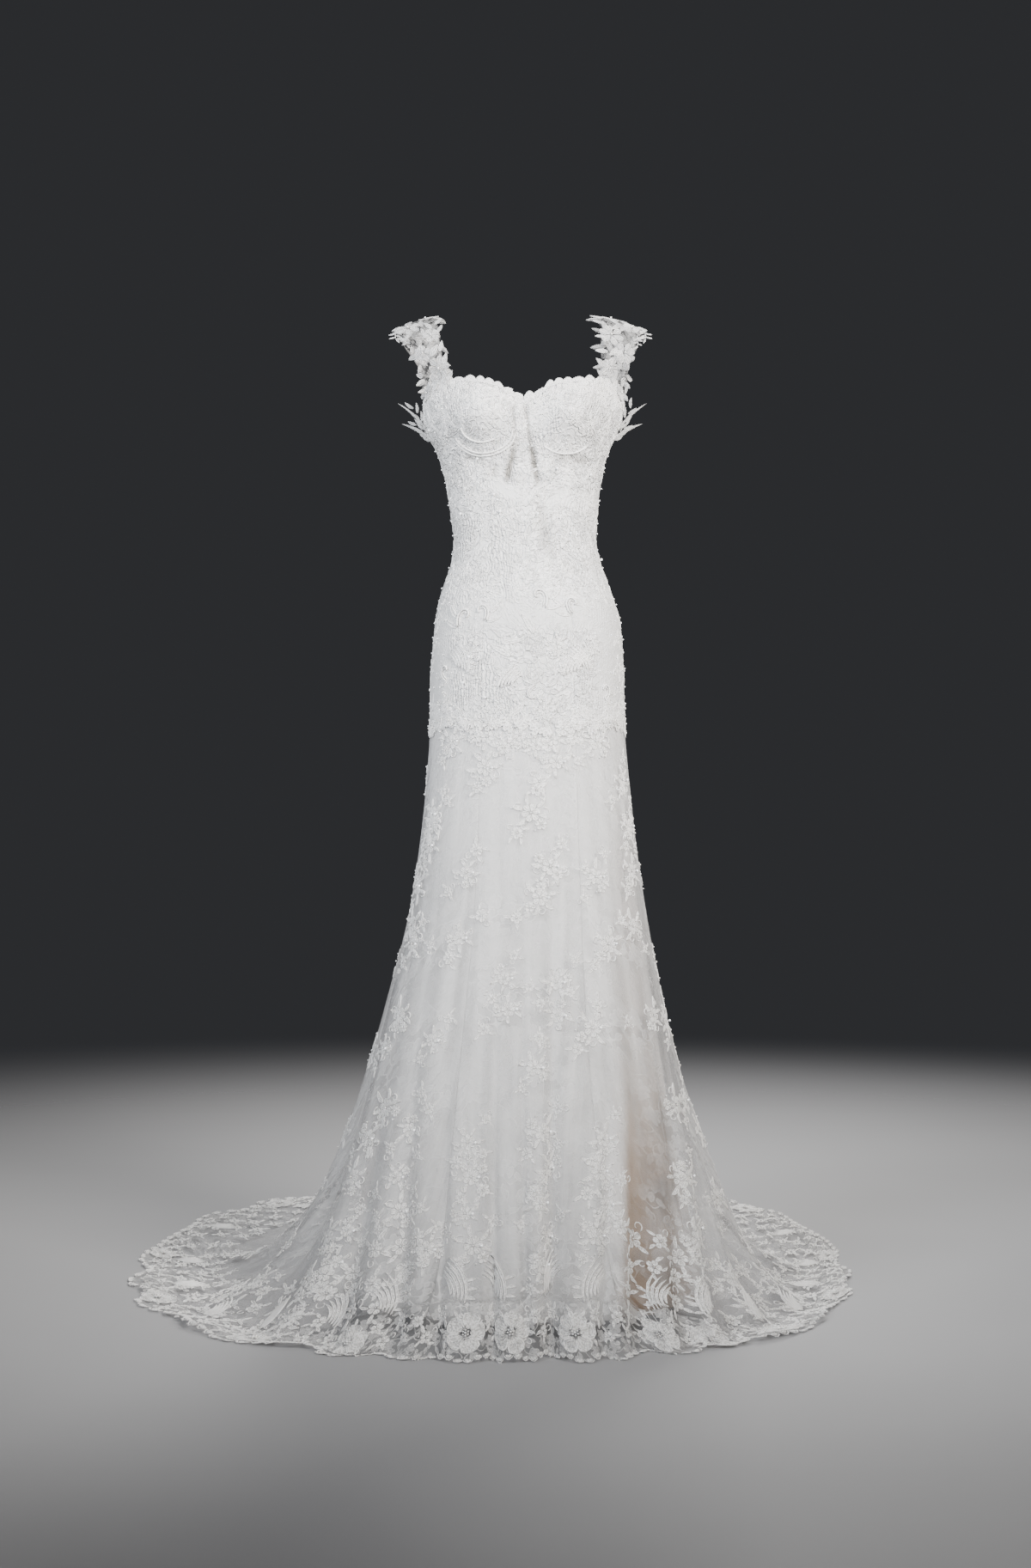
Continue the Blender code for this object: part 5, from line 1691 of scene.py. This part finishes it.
class GOWN_OT_neck_edging(bpy.types.Operator):
    """Scalloped lace edging round the top of the bodice, with a corded shell on each scallop"""

    bl_idname = "gown.neck_edging"
    bl_label = "Neck edging"

    def execute(self, context):
        for name, start, end in EDGINGS:
            for side, tag in SIDES:
                angle, wave, ends = edging_columns(start, end)
                angle, wave = side * angle[::side], wave[::side]
                uneven = 0.85 + 0.25 * np.sin(23 * angle + 2 * np.sin(7 * angle))
                rise = (EDGING_DEPTH + SCALLOP_RISE * wave * uneven) * np.linspace(1, 0, 6)[:, None]
                depth = -neckline(angle) - rise - 0.0001
                grid = bodice(angle, depth)
                flat = stacked(BODICE.widths(angle, depth), -depth)
                piece, node = f"edging_{name}_{tag}", f"neck_edging_{name}_{tag}"
                cloth(piece, node, grid, flat, edging_cloth(), "lace_trim", EDGING_WALL)
                edging_shells(f"edging_shells_{name}_{tag}", side, ends)
        return {"FINISHED"}


def strap_lace(chart, side, tag):
    """Flowers down both edges of a strap with leaves between them, more leaves past its edges, and
    twigs at its outer edge in front. Shares down the strap run from the back to the front."""
    work, rng = Piecework(), randomly(20 + side)
    flowers_here = [rosette(0.018, 6, 0.82), rosette(0.014, 5, 0.95)]
    blades = [leaf(0.029, 0.0105, 0.35), leaf(0.023, 0.0090, -0.5)]
    for n, down in enumerate(np.linspace(0.03, 0.97, STRAP_FLOWERS)):
        near = STRAP_FLOWER_PLACES[n % 2] * side
        strew(work, chart, flowers_here, np.array([near]), np.array([down]), rng, (0.85, 1.15), 0.0006)
        for across in STRAP_LEAF_PLACES[n % 2]:
            spot = side * (across + rng.uniform(-0.08, 0.08)), down + rng.uniform(-0.03, 0.03)
            turn = rng.uniform(-0.5, 0.5) + pi * rng.integers(2)
            work.stitch(chart, blades[n % 2], *spot, turn, rng.uniform(0.7, 1.1), 0.0003 + 0.0003 * (n % 3))
    for out in (-1, 1):
        down = np.linspace(0.05, 0.95, STRAP_EDGE_LEAVES)
        down = down + rng.uniform(-0.015, 0.015, STRAP_EDGE_LEAVES)
        high = (out > 0) * (1 - ramp(np.abs(down - 0.5), 0.08, 0.22))
        edge = side * out * (0.43 - 0.12 * high) * fullness(side, down)
        turn = -side * out * rng.uniform(0.5, 1.5, STRAP_EDGE_LEAVES) * (1 - 0.6 * high)
        work.stitch(chart, blades[0], edge, down, turn, rng.uniform(0.5, 0.85, STRAP_EDGE_LEAVES), 0.0004)
    twig = sprig(0.040) if side < 0 else sprig(0.040).mirrored()
    for down, lean, size in STRAP_TWIGS:
        work.stitch(chart, twig, side * 0.40, down, -side * lean, size, 0.0006)
    work.stitch(chart, blades[0], side * -0.44, 0.58, side * 0.9, 1.0, 0.0006)
    work.made(f"strap_lace_{tag}", "lace_trim", sheer_lace())


class GOWN_OT_straps(bpy.types.Operator):
    """Lace straps: sheer ground, overlapping flowers and leaves, and sprays past the edges"""

    bl_idname = "gown.straps"
    bl_label = "Straps"

    def execute(self, context):
        for side, tag in SIDES:
            chart = STRAPS[side]
            down = np.linspace(0, 1, 97)[:, None]
            across = np.linspace(-0.5, 0.5, 17)[None, :] * fullness(side, down)
            flat = stacked(chart.widths(across, down), -chart.lengths(across, down))
            grid = chart.surface(across, down)
            cloth(f"strap_ground_{tag}", f"strap_{tag}", grid, flat, strap_cloth(), "lace_trim", STRAP_WALL)
            strap_lace(chart, side, tag)
        return {"FINISHED"}


class GOWN_OT_underarm_sprigs(bpy.types.Operator):
    """Leaves of lace that stand free of the top edge under each arm"""

    bl_idname = "gown.underarm_sprigs"
    bl_label = "Underarm sprigs"

    def execute(self, context):
        for side, tag in SIDES:
            for number, (foot_deg, height, out, back, up, width) in enumerate(SPRIG_LEAVES, 1):
                angle, depth = np.array(radians(side * foot_deg)), np.array(-height)
                foot = bodice(angle, depth) + 0.0016 * outward(bodice, angle, depth)
                reach = np.array([side * out, back, up])
                over = np.cross(reach, (0, 1, 0.2))
                tall = np.linalg.norm(reach)
                over, reach = unit(over), reach / tall
                parts = [fine_leaf(0.92 * tall, 0.30 * width, 0.5 * side, 10)]
                for share, way in SPRIG_LEAFLETS:
                    small = fine_leaf(0.26 * tall, 0.0052, 0.6 * way, 6)
                    parts.append(small.placed(-0.8 * way, at=(0.0, share * tall), lift=0.0004))
                shape = joined([*parts, bead(0.0013, (0.0, 0.2 * tall), 0.0014)])
                right, up, rise = shape.points.T[..., None]
                work = Piecework()
                work.add((foot + right * over + up * reach + rise * np.cross(over, reach))[None], shape)
                piece = work.made(f"sprig_lace_{tag}_{number}", "lace_trim", sheer_lace())
                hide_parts(f"underarm_sprig_{tag}_{number}")
        return {"FINISHED"}


class GOWN_OT_lining(bpy.types.Operator):
    """Satin lining in a front and a back half, ivory in front and champagne behind"""

    bl_idname = "gown.lining"
    bl_label = "Lining"

    def execute(self, context):
        for name, start, end in (("front", -0.5, 0.5), ("back", 0.5, 1.5)):
            trim = SEAM_GAP / WAIST
            place = np.linspace(start + trim, end - trim, 133)[None, :]
            depth = np.linspace(-LINING[0, 0], -LINING[-1, 0], 37)[:, None]
            grid = lining(place, depth)
            run = np.pad(strides(grid, 1).cumsum(axis=1), ((0, 0), (1, 0)))
            flat = stacked(run - run[:, 66:67], -depth)
            behind = np.maximum(ramp(grid[..., 0], *CHAMPAGNE_FROM), ramp(grid[..., 1], -0.03, 0.03))
            champagne = BACK_CHAMPAGNE * behind * ramp(depth, -SKIRT_SEAM, 0.95)
            # Painted shade: the front strip takes full champagne, darker than the half strength behind,
            # partly for the shade of the fold over it
            champagne = np.maximum(champagne, shaded_champagne_strip(grid))
            cloth(
                f"satin_{name}", f"lining_{name}", grid, flat, satin(), "lining", sizes().satin_wall,
                "hung", ("cloth_front_centre",), tint=champagne,
            )
        return {"FINISHED"}


def skirt_cloth(name, node, share, level, middle, finish, carrier_slot, rests_on):
    """A panel of the overskirt at these places and ring numbers, its cut measured from its middle."""
    share = share + 0 * level
    grid = overskirt(share, level)
    up = SKIRT.lengths(share, LAST_RING - 1e-6) - SKIRT.lengths(share, level)
    # Painted shade of the folds: 1 where a fold draws in deepest, kept as the "fold" attribute
    fold_shade = np.clip(fold_draw(share, level) / DEEP_FOLD, 0, 1) ** 3 * (1 - ramp(level, *LYING_RINGS))
    cloth(
        name, node, grid, stacked(SKIRT.span(middle, share, level), up), finish, carrier_slot,
        sizes().net_wall, "hung", (rests_on,), tint=clear_strip(grid), fold=fold_shade,
    )


def shaded_champagne_strip(grid):
    """1 on the front of a cloth right of the strip's edge and low down, 0 elsewhere; the satin there is full
    champagne, partly its own colour and partly painted shade of a fold.
    """
    across, low = ramp(as_seen(grid)[..., 0], *SHADED_CHAMPAGNE_STRIP[:2]), ramp(-grid[..., 2], *STRIP_FROM)
    return across * low * (grid[..., 1] < 0)


def clear_strip(grid):
    """The same with its other edge too: where the net over it is clearer."""
    return shaded_champagne_strip(grid) * ramp(as_seen(grid)[..., 0], *SHADED_CHAMPAGNE_STRIP[:1:-1])


def off_strip(share, level):
    """Those of the places that leave the champagne strip open."""
    clear = clear_strip(overskirt(share, level)) < 0.3
    return share[clear], level[clear]


class GOWN_OT_overskirt(bpy.types.Operator):
    """Five net panels from the hip seam to the hem band"""

    bl_idname = "gown.overskirt"
    bl_label = "Overskirt"

    def execute(self, context):
        for name, start, end, lobes in SKIRT_PANELS:
            share = hem_columns(start, end, lobes, NET_COLUMNS_A_LOBE)[None, :]
            seam = SKIRT.above_end(share, HEM_DEPTH + SEAM_GAP)
            level = NET_TOP + (seam - NET_TOP) * np.linspace(0, 1, NET_ROWS + 1)[:, None]
            skirt_cloth(
                f"net_{name}", f"overskirt_{name}", share, level, (start + end) / 2, net_cloth(),
                "sheer_lace", "cloth_front_centre",
            )
        return {"FINISHED"}


class GOWN_OT_skirt_lace(bpy.types.Operator):
    """Garlands over the overskirt, small sprays between them, and the train's deep lace"""

    bl_idname = "gown.skirt_lace"
    bl_label = "Skirt lace"

    def execute(self, context):
        rng, lift = randomly(3), net_lift()
        motifs = [applique(0.029, seed) for seed in range(20, 28)]
        work = Piecework()
        across, level = off_strip(*in_front(SKIRT, GARLANDS, 0.5, 0.05, HEM_RING))
        strew(work, SKIRT, motifs, across, level, rng, (0.85, 1.2), lift + 0.0003, sizes().garland_size)
        small = [fine_posy(0.018, seed) for seed in range(70, 73)]
        for beside, above in ((0.020, 0.034), (-0.024, -0.030)):
            near = SKIRT.beside(across, level, beside + rng.uniform(-0.012, 0.012, len(across)))
            place = off_strip(near, SKIRT.below(across, SKIRT.lengths(across, level) - above))
            strew(work, SKIRT, small, *place, rng, (0.8, 1.2), lift)
        work.made("front_garlands", "sheer_lace")

        work = Piecework()
        sequin = bead(0.0019, finish=THREAD)
        work.stitch(SKIRT, sequin, SKIRT.beside(across, level, 0.012), level, lift=lift + 0.0022)
        work.made("skirt_crystals", "sheer_lace", [crystal()])

        work = Piecework()
        for shares, levels in SIDE_GARLANDS:
            level = np.array(levels)
            for turn in shares:
                place = off_strip(turn + 0.03 * np.sin(2.1 * level), level)
                strew(work, SKIRT, motifs, *place, rng, (0.95, 1.3), lift + 0.0003, sizes().garland_size)
        work.made("side_and_back_garlands", "sheer_lace")

        work = Piecework()
        small = [fine_posy(0.017, seed) for seed in range(30, 34)]
        for _, start, end, _ in SKIRT_PANELS[1:]:
            def half_width(level):
                return SKIRT.span(start, end, level).item() / 2

            middle = (start + end) / 2
            foot = SKIRT.above_end(middle, 0.12)
            place = off_strip(*scatter(SKIRT, middle, 0.15, foot, half_width, sizes().net_pitch, rng))
            strew(work, SKIRT, small, *place, rng, (0.7, 1.1), lift)
        work.made("skirt_sprays", "sheer_lace")

        work = Piecework()
        small = [fine_posy(0.024, seed) for seed in range(40, 46)]
        for start, end in ((0.22, 0.995), (-0.995, -0.22)):
            for row, up in enumerate(np.arange(0.105, 0.235, 0.045)):
                share = SKIRT.evenly(start, end, TRAIN_RING, sizes().train_pitch, row)
                level = SKIRT.above_end(share, up + rng.uniform(-0.01, 0.01, len(share)))
                strew(work, SKIRT, small, share, level, rng, (0.9, 1.25), lift)
        sickle = plume(0.080)
        for side, shape in ((-1, sickle), (1, sickle.mirrored())):
            share = side * np.array(PLUMES)
            work.stitch(SKIRT, shape, share, SKIRT.above_end(share, 0.085), -0.3 * side, 1.0, lift + 0.0008)
        work.made("train_lace", "sheer_lace")
        return {"FINISHED"}


class GOWN_OT_hem(bpy.types.Operator):
    """Hem band of dense lace, cut in lobes along its edge"""

    bl_idname = "gown.hem"
    bl_label = "Hem band"

    def execute(self, context):
        for name, start, end, lobes in SKIRT_PANELS:
            parts = small_lobes(name)
            share = hem_columns(start, end, lobes, 6 * parts)[None, :]
            along = np.arange(share.size) / (6 * parts)
            ripple = np.abs(np.sin(pi * parts * along)) ** SCALLOP_FULLNESS
            edge = big_lobes(along) + SMALL_LOBE_RISE * (1 - ripple) + bays(share[0]) + 0.0002
            level = SKIRT.above_end(share, edge + (HEM_DEPTH - edge) * np.linspace(1, 0, 13)[:, None])
            skirt_cloth(
                f"hem_band_{name}", f"hem_lace_{name}", share, level, (start + end) / 2, hem_cloth(),
                "lace_trim", f"net_{name}",
            )
        return {"FINISHED"}


class GOWN_OT_hem_lace(bpy.types.Operator):
    """Flowers, corded lobes and sprays along the hem"""

    bl_idname = "gown.hem_lace"
    bl_label = "Hem lace"

    def execute(self, context):
        rng, lift = randomly(5), net_lift()
        work = Piecework()
        share, up, radius = np.array(HEM_FLOWERS).T
        grown = sizes().flower_size * radius / BLOSSOM
        level = SKIRT.above_end(share, up)
        for n, petals in enumerate((5, 6, 5)):
            here = slice(n, None, 3)
            turn = rng.uniform(0, 6, len(share[here]))
            flower = blossom(BLOSSOM, petals, n + 1)
            work.stitch(SKIRT, flower, share[here], level[here], turn, grown[here], lift + 0.0005)
        work.made("hem_blossoms", "lace_trim")

        work = Piecework()
        shell = scallop(HEM_SHELL, deep=True)
        for name, start, end, lobes in SKIRT_PANELS:
            count = lobes * small_lobes(name)
            column = hem_columns(start, end, count, 1)
            wide = np.diff(SKIRT.widths(column, HEM_RING))
            middle = (column[1:] + column[:-1]) / 2
            up = big_lobes((np.arange(count) + 0.5) / small_lobes(name)) + bays(middle) + 0.006
            turn = pi + np.arctan(np.diff(bays(column)) / wide)
            level = SKIRT.above_end(middle, up)
            work.stitch(SKIRT, shell, middle, level, turn, wide / HEM_SHELL, lift + 0.0002)
        work.made("hem_scallops", "lace_trim")

        work = Piecework()
        small = [fine_posy(0.020, seed) for seed in range(50, 56)]
        for _, start, end, _ in SKIRT_PANELS:
            for row, up in enumerate((0.040, 0.066)):
                share = SKIRT.evenly(start, end, SPRAY_RING, 0.042, row)
                strew(work, SKIRT, small, share, SKIRT.above_end(share, up), rng, (0.85, 1.1), lift)
        work.made("hem_sprays", "lace_trim")
        return {"FINISHED"}


class GOWN_OT_buttons(bpy.types.Operator):
    """Ten covered buttons down the centre back, with loops and a placket"""

    bl_idname = "gown.buttons"
    bl_label = "Buttons"

    def execute(self, context):
        work = Piecework()
        depth = -BUTTON_TOP + BUTTON_PITCH * np.arange(BUTTON_COUNT)
        work.stitch(BODICE, dome(BUTTON_RADIUS, BUTTON_RISE), pi + 0 * depth, depth, lift=0.0008)
        piece = work.made("covered_buttons", "bodice_lace", [button_satin()])
        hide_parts(*(f"button_{n + 1:02d}" for n in range(BUTTON_COUNT)))
        work = Piecework()
        turn = np.linspace(0.35, 2 * pi - 0.35, 15)
        loop = stacked(-LOOP_WIDTH * np.cos(turn), LOOP_HEIGHT * np.sin(turn))
        work.stitch(BODICE, cord(loop, 0.0007), pi + 0 * depth, depth, lift=0.0009)
        top, middle, foot = PLACKET
        long = np.linspace(top, foot, 60)
        for beside in (-PLACKET_HALF_WIDTH, PLACKET_HALF_WIDTH):
            work.stitch(BODICE, cord(stacked(beside, middle - long), 0.0009), pi, middle, lift=0.0006)
        work.made("button_loops", "bodice_lace", [lace_thread()])
        return {"FINISHED"}


class GOWN_OT_stage(bpy.types.Operator):
    """Pale floor, soft studio lights, and the camera"""

    bl_idname = "gown.stage"
    bl_label = "Stage"

    def execute(self, context):
        rings, spokes = 12, 64
        radius, turn = np.linspace(0, FLOOR_FADE[1] + 0.5, rings)[:, None], rounds(spokes)
        points = stacked(radius * np.cos(turn), radius * np.sin(turn), FLOOR)
        mesh = bpy.data.meshes.new("studio_floor")
        quads = ring_quads(rings, spokes)
        mesh.from_pydata(points.reshape(-1, 3).tolist(), [], quads[:, ::-1].tolist())
        mesh.materials.append(studio_floor())
        mesh.validate()
        stand(mesh)
        for name, place, aim, wide, spread_deg, power, tint in LIGHTS:
            light = bpy.data.lights.new(name, "AREA")
            light.spread = radians(spread_deg)
            light.size, light.energy, light.color = wide, power, tint
            stand(light, place, (Vector(aim) - Vector(place)).to_track_quat("-Z", "Y").to_euler())
        world = bpy.data.worlds.new("studio")
        world.use_nodes = True
        backdrop = world.node_tree.nodes["Background"]
        backdrop.inputs["Color"].default_value = (*context.scene.gown_colours.backdrop, 1)
        backdrop.inputs["Strength"].default_value = 1.0
        context.scene.world = world
        lens = bpy.data.cameras.new("camera")
        lens.lens, lens.sensor_width = CAMERA_LENS, CAMERA_SENSOR
        context.scene.camera = stand(lens, CAMERA_PLACE, (pi / 2, 0, 0))
        return {"FINISHED"}


STEPS = (
    GOWN_OT_bodice, GOWN_OT_bodice_lace, GOWN_OT_neck_edging, GOWN_OT_straps, GOWN_OT_underarm_sprigs,
    GOWN_OT_lining, GOWN_OT_overskirt, GOWN_OT_skirt_lace, GOWN_OT_hem, GOWN_OT_hem_lace, GOWN_OT_buttons,
    GOWN_OT_stage,
)


class GOWN_PT_panel(bpy.types.Panel):
    """Buttons for each step, and the gown's sizes and colours"""

    bl_label = "Lace Wedding Gown"
    bl_idname = "GOWN_PT_panel"
    bl_space_type = "VIEW_3D"
    bl_region_type = "UI"
    bl_category = "Gown"

    def draw(self, context):
        for group in (context.scene.gown_sizes, context.scene.gown_colours):
            box = self.layout.box()
            for name in group.bl_rna.properties.keys():
                if name not in {"rna_type", "name"}:
                    box.prop(group, name)
        for step in STEPS:
            self.layout.operator(step.bl_idname)


CLASSES = (GownSizes, GownColours, *STEPS, GOWN_PT_panel)


def register():
    for made in CLASSES:
        bpy.utils.register_class(made)
    bpy.types.Scene.gown_sizes = PointerProperty(type=GownSizes)
    bpy.types.Scene.gown_colours = PointerProperty(type=GownColours)


def unregister():
    del bpy.types.Scene.gown_sizes, bpy.types.Scene.gown_colours
    for made in reversed(CLASSES):
        bpy.utils.unregister_class(made)


def main():
    register()
    for step in STEPS:
        call = getattr(bpy.ops.gown, step.bl_idname.split(".")[1])
        if call() != {"FINISHED"}:
            raise RuntimeError(f"{step.bl_label} did not finish")


if __name__ == "__main__":
    main()
